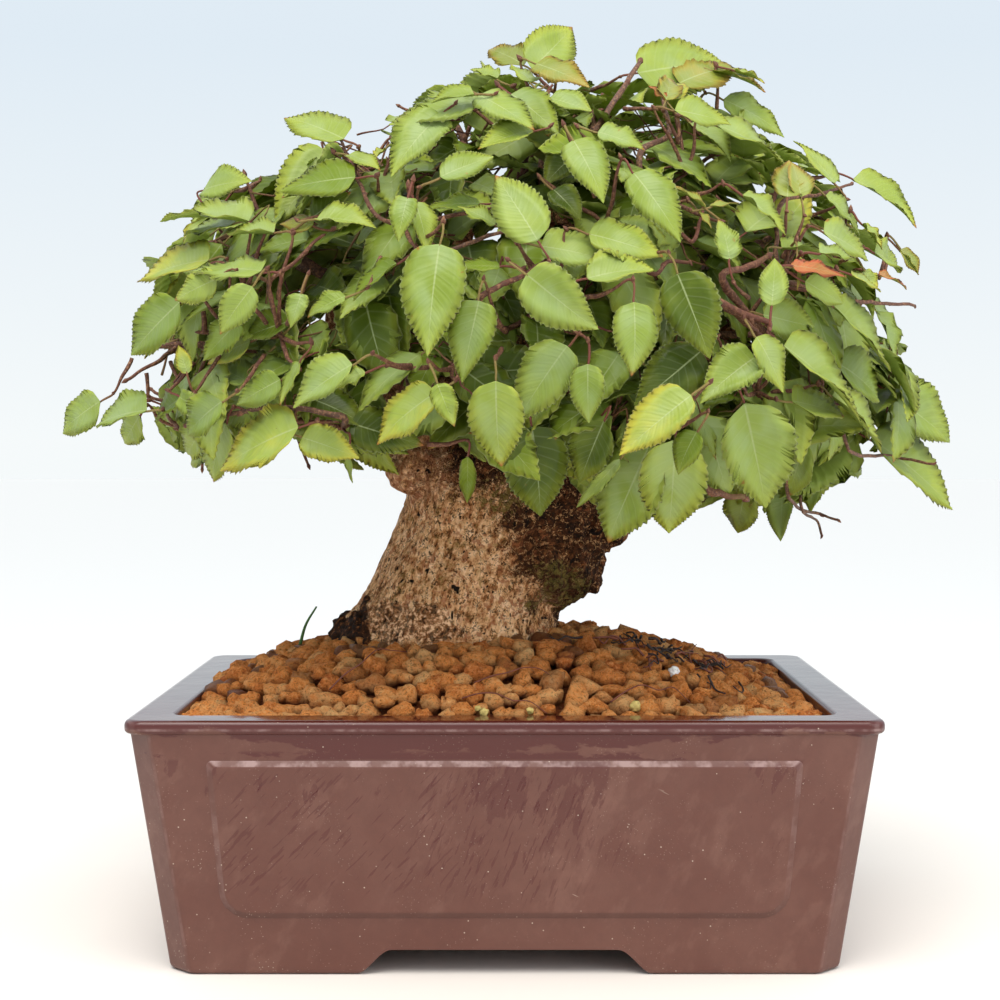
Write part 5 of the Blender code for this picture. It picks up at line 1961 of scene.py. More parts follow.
# The crown's outline in the picture, which the leaves that fill it keep inside
CROWN_OUTLINE = (
    (55, 432), (85, 395), (122, 393), (150, 408), (182, 398), (190, 385), (168, 360), (126, 352),
    (150, 310), (172, 288), (136, 268), (180, 242), (204, 234), (164, 205), (206, 186), (236, 176),
    (250, 192), (274, 210), (288, 204), (276, 184), (286, 164), (318, 150), (344, 160), (334, 140),
    (288, 108), (320, 105), (350, 124), (346, 148), (366, 164), (386, 158), (386, 134), (400, 110),
    (440, 88), (470, 84), (474, 66), (492, 62), (486, 42), (508, 44), (528, 62), (528, 36), (558, 22),
    (577, 26), (574, 46), (588, 80), (604, 88), (628, 82), (640, 72), (632, 46), (664, 40), (734, 54),
    (764, 80), (738, 82), (746, 94), (788, 126), (800, 136), (814, 142), (842, 174), (854, 184), (884, 172),
    (922, 210), (886, 202), (852, 198), (878, 234), (902, 248), (920, 270), (900, 276), (880, 290),
    (912, 326), (888, 314), (902, 352), (920, 384), (956, 438), (926, 432), (932, 460), (962, 498),
    (926, 478), (880, 456), (852, 456), (836, 470), (838, 515), (822, 536), (802, 500), (790, 515),
    (782, 542), (768, 515), (744, 532), (734, 528), (714, 495), (700, 515), (672, 542), (645, 515),
    (634, 500), (606, 545), (602, 500), (578, 488), (560, 478), (545, 516), (512, 468), (490, 470),
    (466, 430), (442, 410), (432, 438), (416, 448), (396, 448), (372, 466), (356, 452), (322, 448),
    (302, 434), (270, 438), (212, 463), (204, 478), (182, 458), (178, 430), (150, 428), (122, 445),
    (120, 424), (98, 410), (62, 432),
)

# Half of the construction's toothed outline: share of the length, share of the half width
PLAIN_OUTLINE = ((0.0, 0.075), (0.06, 0.66), (0.38, 1.0), (0.50, 0.74), (0.68, 0.64))


Solid = tuple[BVHTree, Vector, float]
Lie = tuple[Vector, Vector, Vector, float]


@dataclass
class Spray:
    """A spray as it grows: places to grow from, its wood and blades as solids, and its stems."""

    number: int
    nodes: list[Vector]
    wood: list[Solid]
    lines: list[list[Vector]]
    blades: list[Solid] = field(default_factory=list)
    grown: int = 0


@dataclass
class Growth:
    """Grows the same twigs and leaves as the construction, each clear of all before it."""

    wood: Wood
    rib_thick: float = 0.95
    droop: float = 0.12
    stalk_radius: float = 0.55
    neck_radius: float = 0.95
    clearance: float = 0.4
    longest_stalk: float = 26.0
    least_turn: float = 0.15
    node_pitch: float = 1.8
    twigs: int = 2
    twig_reach: float = 15.0
    twig_radius: float = 1.1
    stem_end_radius: float = 1.0
    leaf_length: float = 23.0
    leaf_spread: float = 3.0
    width_share: float = 0.36
    width_play: float = 0.03
    by_rule: int = 145
    rule_tries: int = 12000
    rule_shares: tuple[float, ...] = (0.98, 0.92, 0.86)
    fill_tries: int = 26000
    fill_rise: tuple[float, float] = (-0.60, 0.98)
    fill_width: tuple[float, float] = (0.33, 0.39)
    fill_front: float = 0.93
    inner_share: float = 0.84
    # The chance that an inner fill leaf is dark: partly its own older green and partly painted shade inside
    # the crown.
    inner_dark_and_shade: float = 0.22
    fill_share: tuple[float, float] = (0.62, 0.98)
    fill_length: tuple[float, float] = (12.0, 22.0)
    fill_reach: tuple[float, float] = (3.0, 24.0)
    per_spray: int = 6
    shortest: float = 11.0
    longest: float = 27.0
    front_back: float = 8.0
    traced_rise: float = 1.6
    traced_roll: float = 1.25
    red_width: float = 0.45
    traced_sway: float = 0.25
    traced_root: tuple[float, float] = (5.0, 4.0)
    rule_root: tuple[float, float] = (6.0, 3.0)
    apart: float = 5.2

    def __post_init__(self) -> None:
        """Places the stems and twigs on the wood, and lists the ways a leaf is moved if it meets others."""
        self.tries = [(push, turn) for turn in (0, 18, -18) for push in (0, 3, -3, 6, -6, 10, 14, 19, 25)]
        self.shifts = [(share, lift) for lift in (0, 8, 16) for share in (1.0, 0.95, 0.90, 0.85, 0.80)]
        self.shifts += [(share, 4) for share in (0.74, 0.68, 0.62, 0.56)]
        self.walls = [self.solid(shape) for shape in self.wood.walls()]
        self.sprays: list[Spray] = []
        self.leaves: list[Leaf] = []
        self.shoots: list[tuple[int, list[Vector], float, float]] = []
        self.traced: list[tuple[Any, ...]] = []
        radii = (self.wood.end_radius, 1.6, self.stem_end_radius)
        pairs = zip(self.wood.side_branches(), self.wood.spray_places())
        for number, ((path, _), (end, tip)) in enumerate(pairs):
            way = (path[-1] - path[-2]).normalized()
            bend = end.lerp(tip, 0.5) + way * 1.5
            shape = tube([end + way * GAP, bend, tip], radii, 4, way)
            self.sprays.append(Spray(number, self.along(bend, tip), [self.solid(shape)],
                                     [[end - way * 3.0, bend, tip]]))
        for spray in self.sprays:
            self.fork(spray)
        self.joints = [(p, s.number) for s in self.sprays for p in s.nodes]

    def fork(self, spray: Spray) -> None:
        """Adds the twigs that leave a spray's stem on alternate sides.

        Args:
            spray: the spray, which is changed.
        """
        _, bend, tip = spray.lines[0]
        out = DOME.normal(tip)
        level = out.cross(Vector((0.1, 0, 1))).normalized()
        others = [w for other in self.sprays if other is not spray for w in other.wood]
        for k in range(self.twigs):
            turn = Matrix.Rotation(math.radians(40.0 * spray.number + 360 * k / self.twigs), 3, out)
            end = DOME.on_shell(tip + turn @ level * self.twig_reach, self.wood.stem_share + 0.03 * (k % 2))
            start = bend.lerp(tip, 0.1 + 0.6 * k / self.twigs)
            way = (end - start).normalized()
            test = self.solid(tube([start + way * 3.5, end + way * GAP], (self.twig_radius + GAP,) * 2, 4))
            if any(self.meets(test, wall) for wall in self.walls + others):
                continue
            spray.lines.append([start, end])
            spray.wood.append(self.solid(tube([start, end], (self.twig_radius, self.twig_radius * 0.9), 4)))
            spray.nodes += self.along(start + way * 4, end - way * 0.4)

    def along(self, start: Vector, end: Vector) -> list[Vector]:
        """Places to grow from along a piece of wood, one every node_pitch."""
        count = int((end - start).length / self.node_pitch)
        return [start.lerp(end, (k + 0.6) / (count + 1)) for k in range(count + 1)]

    @staticmethod
    def solid(shape: Shape) -> Solid:
        """A shape made ready for overlap tests, with a sphere round it.

        Args:
            shape: its points and faces.

        Returns:
            Its tree of faces, its middle and its reach.
        """
        points, faces = shape
        middle = sum((Vector(p) for p in points), Vector()) / len(points)
        return BVHTree.FromPolygons(points, faces), middle, max((Vector(p) - middle).length for p in points)

    @staticmethod
    def meets(a: Solid, b: Solid) -> bool:
        """True if two solids touch."""
        return (a[1] - b[1]).length < a[2] + b[2] and bool(a[0].overlap(b[0]))

    @staticmethod
    def lie(base: Vector, tip: Vector, roll: float) -> Lie:
        """How a blade lies.

        Args:
            base: where it starts.
            tip: where it ends.
            roll: its turn about its rib in degrees.

        Returns:
            Base, direction, normal and length.
        """
        way = tip - base
        along = way.normalized()
        out = DOME.normal(base.lerp(tip, 0.5)) + Vector((0, 0, 0.35))
        out = (out - along * out.dot(along)).normalized()
        return base, along, Matrix.Rotation(math.radians(roll), 3, along) @ out, way.length

    def plain_leaf(self, lie: Lie, root: Vector, half_width: float) -> Shape:
        """The construction's toothed blade on its stalk.

        Args:
            lie: how the blade lies.
            root: where the stalk starts.
            half_width: half the blade's width.

        Returns:
            Points and faces.
        """
        base, along, out, length = lie
        side = along.cross(out).normalized()

        def place(u: float, v: float, lift: float) -> Vector:
            """A point of the blade."""
            return base + along * (u * length) + side * (v * half_width) + out * (
                lift - self.droop * length * u * u)

        points = [place(u, 0, self.rib_thick) for u in (0.0, 0.42)] + [place(1.0, 0, 0)]
        points += [place(u, s * v, 0) for s in (1, -1) for u, v in PLAIN_OUTLINE]
        faces = [(7, 12, 2)]
        for first in (3, 8):
            neck, lobe, tooth, notch, upper = range(first, first + 5)
            faces += [(0, neck, lobe), (0, lobe, 1), (lobe, tooth, 1), (1, tooth, notch),
                      (1, notch, upper), (1, upper, 2)]
        for k in range(3, 7):
            faces += [(k, k + 1, k + 6), (k, k + 6, k + 5)]
        stalk = (base - root).normalized()
        up = (out - stalk * out.dot(stalk)).normalized() * self.stalk_radius
        across = stalk.cross(up)
        points += [root + up] + [root + across * s * 0.87 - up * 0.5 for s in (1, -1)]
        right, left = (3, 8) if (points[3] - base).dot(across) > 0 else (8, 3)
        faces += [(13, right, 0), (13, 14, right), (14, 15, right), (15, left, right),
                  (15, 13, left), (13, 0, left), (13, 15, 14)]
        return points, faces

    def near_leaf(self, lie: Lie, half_width: float) -> Shape:
        """Three wider copies of a blade that mark the clearance it needs.

        Args:
            lie: how the blade lies.
            half_width: half the blade's width.

        Returns:
            Points and faces.
        """
        base, along, out, length = lie
        points, faces = [], []
        for lift in (-self.clearance, 0.0, self.clearance):
            place = base + out * lift
            copy = (place, along, out, length + self.clearance)
            more, cells = self.plain_leaf(copy, place - along * 1.2, half_width + self.clearance)
            faces += [tuple(i + len(points) for i in cell) for cell in cells]
            points += more
        return points, faces

    def stalk(self, base: Vector, root: Vector, grow: float) -> Solid:
        """A leaf's stalk alone, grown by some mm."""
        return self.solid(tube([root, base], (self.stalk_radius + 0.1 + grow, self.neck_radius + grow), 4))

    def clear(self, blade: Solid, stalk: Solid, own: Spray, free: Solid) -> bool:
        """True if a blade and its stalk touch nothing but their own spray's wood at the root.

        Args:
            blade: the blade with its clearance.
            stalk: the whole stalk.
            own: the spray that it grows from.
            free: the stalk without its root.

        Returns:
            True if it stands clear.
        """
        for spray in self.sprays:
            if any(self.meets(blade, other) or self.meets(stalk, other) for other in spray.blades):
                return False
            near = free if spray is own else stalk
            if any(self.meets(blade, wood) or self.meets(near, wood) for wood in spray.wood):
                return False
        return not any(self.meets(blade, w) or self.meets(stalk, w) for w in self.walls)

    def roots(self, spray: Spray, base: Vector, along: Vector) -> list[Vector]:
        """Places on a spray's wood to grow from, the best first.

        Args:
            spray: the spray.
            base: where the blade starts.
            along: the way the blade runs.

        Returns:
            Up to four places.
        """
        ranked = []
        for point in spray.nodes:
            way = base - point
            turn = way.normalized().dot(along)
            if 3.0 < way.length < self.longest_stalk and turn > self.least_turn:
                ranked.append((way.length * (1.5 - 0.5 * turn), len(ranked), point))
        return [point for _, _, point in sorted(ranked)[:4]]

    def add(self, base: Vector, tip: Vector, roll: float, width: float, full: int, tone: Tone) -> bool:
        """Tries to grow one leaf.

        Args:
            base: where the blade starts.
            tip: where it ends.
            roll: its turn about its rib in degrees.
            width: half its width.
            full: how many leaves fill a spray.
            tone: its tint.

        Returns:
            True if it stands clear.
        """
        lie = self.lie(base, tip, roll)
        along = lie[1]
        blade = self.solid(self.near_leaf(lie, width))
        near = sorted(self.sprays, key=lambda s: min(((p - base).length for p in s.nodes), default=1000.0))
        for spray in near[:3]:
            for root in self.roots(spray, base, along) if spray.grown < full else ():
                way = (base - root).normalized()
                free = self.stalk(base - along * 0.3, root + way * 2.0, 0.1)
                if self.clear(blade, self.stalk(base - along * 0.3, root, GAP), spray, free):
                    spray.blades.append(self.solid(self.plain_leaf(lie, base - along * 0.8, width)))
                    spray.wood.append(self.stalk(base, root + way * 1.0, 0.0))
                    spray.nodes = [p for p in spray.nodes if (p - root).length > 0.9 * self.node_pitch]
                    spray.grown += 1
                    self.leaves.append(Leaf(*lie, width, root, spray.number, tone))
                    return True
        return False

    def grow(self) -> None:
        """Grows the leaves seen from the front, then the rest by rule."""
        draw, paint = Chance(SEED), Chance(SEED + 3)
        seen = []
        for (*picture, roll, rise_by), letter in zip(SEEN_LEAVES, SEEN_TONES, strict=True):
            seen.append((picture, roll if picture[2] > picture[0] else -roll, rise_by, TONES[letter]))
        seen.sort(key=lambda s: -math.dist(s[0][:2], s[0][2:]))
        for picture, roll, rise_by, tone in seen:
            wide = self.width_share + draw.uniform(-self.width_play, self.width_play)
            leaf = None
            for push, turn in self.tries:
                base, tip = EYE.leaf(picture, rise_by, push)
                length = max(self.shortest, min(self.longest, (tip - base).length))
                tip = base + (tip - base).normalized() * length
                if self.add(base, tip, roll + turn, length * wide, 99, tone):
                    leaf = self.leaves[-1]
                    break
            self.traced.append((leaf, picture, rise_by, roll, wide, tone))
        placed, tries = 0, 0
        while placed < self.by_rule and tries < self.rule_tries:
            tries += 1
            turn = GOLDEN_TURN * tries + draw.uniform(-12, 12)
            lift = math.degrees(math.asin(draw.uniform(-0.55, 1.0)))
            share = draw.choice(self.rule_shares) - (0.1 if tries > 1500 else 0.0)
            base = DOME.point(turn, lift, share)
            slope = self.slope(base, draw.gauss(0, 38))
            length = self.leaf_length + draw.uniform(-1, 1) * self.leaf_spread
            tip = base + (slope + DOME.normal(base) * draw.uniform(-0.15, 0.45)).normalized() * length
            width = length * (self.width_share + draw.uniform(-self.width_play, self.width_play))
            full = 4 + self.per_spray * placed // self.by_rule + tries // 1000
            placed += self.add(base, tip, draw.gauss(0, 18), width, full, self.tone(base, paint))

    @staticmethod
    def tone(base: Vector, paint: Chance) -> Tone:
        """The tone of a leaf by its place: fresher on top and outside, darker within, and lighter towards the
        flanks as painted light.

        Args:
            base: where the leaf starts.
            paint: the source of chance.

        Returns:
            The tone.
        """
        # abs(base.x) freshens the flanks: painted light where the thin flanks let light through.
        place = (base.z - 150.0) / 120.0 + (DOME.level(base) - 0.92) * 4 + abs(base.x) / 170.0
        fresh = max(0.0, min(1.0, 0.5 + place))
        behind = 1.0 if base.y > 0 else 0.0
        weights = (2.2 - 2.0 * fresh, 3.0, 1.2 + 2.6 * fresh, 0.8 + 1.4 * fresh, 0.2,
                   0.03 + 0.20 * fresh * behind, 0.04 * behind)
        return paint.choices(tuple(Tone), weights)[0]

    @staticmethod
    def slope(base: Vector, turn: float) -> Vector:
        """The way down the dome at a point, turned by degrees about the way out.

        Args:
            base: the point.
            turn: the turn in degrees.

        Returns:
            The way.
        """
        out = DOME.normal(base)
        down = Vector((0, 0, -1)) + Vector((out.x, out.y, 0)) * 0.9
        slope = (down - out * down.dot(out)).normalized()
        return Matrix.Rotation(math.radians(turn), 3, out) @ slope

    def nearest(self, point: Vector) -> tuple[Vector, int]:
        """The place on the sprays' wood that is nearest to a point, and its spray's number."""
        return min(self.joints, key=lambda joint: (joint[0] - point).length)

    def settle(self) -> None:
        """Lays each traced leaf just where it is seen, and the others behind and inside the outline."""
        seen = [leaf for leaf, *_ in self.traced if leaf]
        for leaf in self.leaves[len(seen):]:
            back = self.front_back if DOME.normal(leaf.base).y < -0.3 else 0.0
            start = leaf.base + Vector((0, back, 0))
            for share, lift in self.shifts:
                leaf.base = DOME.middle() + (start - DOME.middle()) * share + Vector((0, 0, lift))
                if self.covered(leaf.base, leaf.along, leaf.out, leaf.length):
                    break
            back, under = self.rule_root
            leaf.root, leaf.spray = self.nearest(leaf.base - leaf.along * back - leaf.out * under)
        for leaf, picture, rise_by, roll, wide, tone in self.traced:
            base, tip = EYE.leaf(picture, rise_by * self.traced_rise, 0.0)
            along, length = (tip - base).normalized(), (tip - base).length
            out = self.facing(base, along, abs(roll) * self.traced_roll)
            back, under = self.traced_root
            root, number = self.nearest(base - along * back - out * under)
            half = length * wide * (self.red_width if tone is Tone.RED else 1.0)
            if leaf:
                self.leaves.remove(leaf)
            self.leaves.append(Leaf(base, along, out, length, half, root, number, tone,
                                    sway=self.traced_sway))

    @staticmethod
    def facing(base: Vector, along: Vector, turn: float) -> Vector:
        """The normal of a blade that is turned upwards, by degrees, from the way to the eye.

        Args:
            base: where the blade starts.
            along: the way it runs.
            turn: the turn in degrees.

        Returns:
            The normal.
        """
        view = Vector(EYE.place) - base
        square = (view - along * view.dot(along)).normalized()
        turned = [Matrix.Rotation(math.radians(s * turn), 3, along) @ square for s in (1, -1)]
        return max(turned, key=lambda way: way.z)

    def covered(self, base: Vector, along: Vector, out: Vector, length: float) -> bool:
        """True if a blade is seen wholly inside the crown's outline."""
        middle, side = base + along * length / 2, along.cross(out) * length * 0.3
        return all(self.inside(p) for p in (base, base + along * length, middle + side, middle - side))

    @staticmethod
    def inside(point: Point) -> bool:
        """True if a point is seen inside the crown's outline.

        Args:
            point: the place in mm.

        Returns:
            True if it lies inside.
        """
        px, py = EYE.picture(point)
        within = False
        for (x0, y0), (x1, y1) in zip(CROWN_OUTLINE, CROWN_OUTLINE[1:] + CROWN_OUTLINE[:1]):
            if (y0 > py) != (y1 > py) and px < x0 + (py - y0) / (y1 - y0) * (x1 - x0):
                within = not within
        return within

    def detail(self) -> None:
        """Adds the slender leaves and the twigs that show between the leaves."""
        for *picture, rise_by, wide, letter in SLENDER_LEAVES:
            base, tip = EYE.leaf(picture, rise_by, 0.0)
            lie = self.lie(base, tip, 0.0)
            root, number = self.nearest(base)
            self.leaves.append(Leaf(*lie, lie[3] * wide / Foliage.slim, root, number, TONES[letter]))
        for picture, rise_by, radius, age in SEEN_TWIGS:
            path = []
            for px, py in picture:
                way, reach, _ = EYE.meets(px, py, rise_by)
                path.append(Vector(EYE.place) + way * reach)
            root, number = self.nearest(path[0])
            self.shoots.append((number, [root, *path], radius, age))

    def fill(self, count: int) -> None:
        """Adds that many inner leaves, so that the crown is as full as the real one.

        Args:
            count: how many leaves are added.
        """
        draw = Chance(SEED + 1)
        middles = [leaf.base + leaf.along * leaf.length / 2 for leaf in self.leaves]
        placed, tries = 0, 0
        low, high = self.fill_reach
        while placed < count and tries < self.fill_tries:
            tries += 1
            lift = math.degrees(math.asin(draw.uniform(*self.fill_rise)))
            turn, share = draw.uniform(0, 360), draw.uniform(*self.fill_share)
            base = DOME.point(turn, lift, share)
            out = DOME.normal(base)
            if out.y < -0.25 and share > self.fill_front:
                continue
            length = draw.uniform(*self.fill_length)
            way = (self.slope(base, draw.gauss(0, 55)) + out * draw.uniform(-0.1, 0.8)).normalized()
            tip, middle = base + way * length, base + way * length / 2
            if not self.covered(base, way, out, length):
                continue
            if any((middle - other).length < self.apart for other in middles):
                continue
            near = [(p, n) for p, n in self.joints if low < (base - p).length < high
                    and (base - p).normalized().dot(way) > 0.0]
            if not near:
                continue
            root, number = min(near, key=lambda joint: (joint[0] - base).length)
            lie = self.lie(base, tip, draw.gauss(0, 24))
            middles.append(middle)
            wide = length * draw.uniform(*self.fill_width)
            # Inner fill leaves are sometimes dark: partly an older leaf's own green, partly painted shade
            # inside the crown.
            dark = share < self.inner_share and draw.random() < self.inner_dark_and_shade
            tone = Tone.DARK if dark else self.tone(base, draw)
            self.leaves.append(Leaf(*lie, wide, root, number, tone, False))
            placed += 1


@dataclass
class Blade:
    """A closed, thin hornbeam blade on a grid that follows its side veins."""

    veins: int = 11
    lines: int = 4
    columns: tuple[float, ...] = (0.0, 0.54, 1.0)
    thick: float = 0.17
    rib: float = 0.42
    profile: tuple[tuple[float, float], ...] = (
        (0.0, 0.03), (0.012, 0.25), (0.045, 0.53), (0.11, 0.77), (0.21, 0.93), (0.34, 1.0), (0.47, 0.985),
        (0.59, 0.88), (0.70, 0.70), (0.80, 0.49), (0.88, 0.30), (0.94, 0.15), (0.98, 0.055), (1.0, 0.008))
    teeth: dict[int, tuple[tuple[float, float], ...]] = field(default_factory=lambda: {
        4: ((0.042, 0.012), (-0.030, -0.005), (0.020, 0.007), (-0.018, 0.000)),
        2: ((0.040, 0.012), (-0.028, -0.004))})

    def __post_init__(self) -> None:
        """Works out the template's arrays."""
        rows = self.veins * self.lines
        share = np.linspace(0, 1, rows + 1)
        reach = share + 0.25 * np.sin(math.pi * share**0.8)
        known = smooth_line(self.profile, 6)
        wide = np.interp(reach, known[:, 0], known[:, 1])
        tooth = np.array([self.teeth[self.lines][k % self.lines] for k in range(rows + 1)])
        tooth = tooth * np.minimum(1, wide / 0.35)[:, None]
        tooth[0] = tooth[-1] = 0
        ts = np.array([-t for t in self.columns[:0:-1]] + list(self.columns))
        size, width = np.abs(ts), len(ts)
        rim = size == 1
        along = share[:, None] + (reach - share)[:, None] * size[None, :] ** 1.3
        along = along + np.where(rim, tooth[:, 1:2], 0)
        across = np.sign(ts) * size * wide[:, None] * (1 + np.where(rim, tooth[:, 0:1], 0))
        across = across + np.sign(ts) * np.where(rim, tooth[:, 0:1] * 0.15, 0)
        phase = (np.arange(rows + 1) % self.lines) / self.lines
        groove = -np.cos(FULL_TURN * phase)[:, None] * (size * (1 - 0.55 * size))[None, :] * 4
        groove = groove * np.sin(math.pi * share)[:, None] ** 0.5
        top = np.arange((rows + 1) * width).reshape(rows + 1, width)
        bottom, body = top.copy(), (slice(1, -1), slice(1, width - 1))
        extra = (rows - 1) * (width - 2)
        bottom[body] = top.size + np.arange(extra).reshape(rows - 1, width - 2)

        def corners(grid: Array) -> Array:
            """The four corners of each cell of a grid, in order round it."""
            return np.stack([grid[:-1, :-1], grid[1:, :-1], grid[1:, 1:], grid[:-1, 1:]], 2)

        def both(values: Array, below: Optional[Array] = None) -> Array:
            """The values of the upper points, then those of the lower ones."""
            below = values if below is None else below
            return np.concatenate([values.ravel(), below[body].ravel()])

        self.faces = np.vstack([corners(grid).reshape(-1, 4) for grid in (top, bottom[:, ::-1])])
        shape = along.shape
        rib = np.where(size == 0, 1.0, 0.0)[None, :] * (1 - 0.8 * share)[:, None]
        self.along, self.across, self.groove = both(along), both(across), both(groove)
        self.under = both(np.zeros(shape), np.ones(shape))
        self.down = both(np.zeros(shape), np.broadcast_to(self.thick + self.rib * rib, shape))
        vein = np.repeat(share[:, None] * self.veins + 0.5, width, 1)
        self.marks = np.stack([both(along), both(np.broadcast_to(ts[None, :], shape)), both(vein)], 1)
        flat = np.stack([along, 0.5 + 0.5 * across / 1.15], -1)
        self.charts = np.concatenate([corners(side).reshape(-1, 2) * (1.0, 0.46) + (0, low)
                                      for side, low in ((flat, 0.02), (flat[:, ::-1], 0.52))])


@dataclass
class Foliage:
    """All blades of a group of sprays, made into one piece."""

    fine: Blade
    plain: Blade
    lift: float = 0.45
    slim: float = 0.89
    flank_start: float = 35.0
    flank_width: float = 40.0
    # The two values below make leaves on the flanks lighter and less dark as painted light.
    flank_painted_light: float = 0.25
    flank_painted_lift: float = 0.6

    def shape(self, leaf: Leaf, blade: Blade, draw: Chance) -> Array:
        """The blade's points in place.

        Args:
            leaf: the leaf.
            blade: the template.
            draw: the source of chance.

        Returns:
            (n, 3) places in mm.
        """
        length, half = leaf.length, leaf.half_width * self.slim
        tip_up = Vector((draw.gauss(0, 0.18), draw.gauss(0, 0.18), draw.uniform(0.0, 1.1))) * leaf.sway
        out = leaf.out + tip_up
        out = (out - leaf.along * out.dot(leaf.along)).normalized()
        share, across = blade.along, blade.across
        share = np.clip(share, 0, None) ** draw.uniform(0.92, 1.12)
        x, y = (share * 1.05 - 0.05) * length, across * half
        y = y + draw.uniform(-0.05, 0.05) * length * share**2
        z = self.lift + 0.13 * blade.groove * half / 8
        z = z + draw.uniform(0.04, 0.60) * np.abs(y) - draw.uniform(-0.05, 0.14) * y * y / half
        z = z - draw.uniform(0.08, 0.24) * length * share**2
        z = z - draw.uniform(0.0, 0.45) * length * np.maximum(share - 0.70, 0) ** 2
        wave = FULL_TURN * (share * draw.uniform(1.2, 2.6) + draw.random())
        height = draw.uniform(0.25, 0.85)
        z = z + height * np.sin(wave + np.sign(across) * draw.uniform(0.5, 2.5)) * np.abs(across)
        turn = math.radians(draw.uniform(-16, 16)) * share
        y, z = y * np.cos(turn) - z * np.sin(turn), y * np.sin(turn) + z * np.cos(turn)
        z = z - blade.down
        side = np.array(leaf.along.cross(out).normalized())
        return np.array(leaf.base) + np.outer(x, leaf.along) + np.outer(y, side) + np.outer(z, out)

    def build(self, name: str, leaves: list[Leaf], nodes: list[str], finish: Material,
              draw: Chance) -> None:
        """Makes one piece of the leaves of some sprays.

        Args:
            name: the piece's name.
            leaves: its leaves.
            nodes: the CAD nodes that it stands for.
            finish: the leaf material.
            draw: the source of chance.
        """
        batch = Batch("blade", "tone", "cast")
        grid = math.ceil(math.sqrt(len(leaves)))
        for number, leaf in enumerate(leaves):
            blade = self.fine if leaf.fine else self.plain
            yellow, bronze, light, dark = leaf.tone.value
            # On the flanks leaves are made lighter and less dark: painted light where the thin flanks let
            # light through.
            flank = min(1.0, max(0.0, (abs(leaf.base.x) - self.flank_start) / self.flank_width))
            chance = min(1.0, max(0.0, light + draw.gauss(0, 0.12) + self.flank_painted_light * flank))
            dark = dark * (1 - self.flank_painted_lift * flank)
            burn = 1.0 if draw.random() < 0.12 + 0.3 * yellow else 0.0
            cast = [blade.under, np.full_like(blade.under, dark), np.full_like(blade.under, burn)]
            batch.add(self.shape(leaf, blade, draw), quads=blade.faces, blade=blade.marks,
                      tone=(yellow, bronze, chance), cast=np.stack(cast, 1))
            cell = np.array([number % grid, number // grid])
            batch.flat.append((blade.charts * 0.96 + 0.02 + cell) / grid)
        hand_over(batch.build(name, finish), "leaf", nodes)


@dataclass(frozen=True)
class Form:
    """How a shoot is drawn: radii and ages at its bends, steps between them, its sides and wander in mm.

    An age is 0 for a stalk, 1 for young wood and 2 for old wood.
    """

    radii: tuple[float, ...]
    ages: tuple[float, ...]
    steps: int
    sides: int
    wander: float


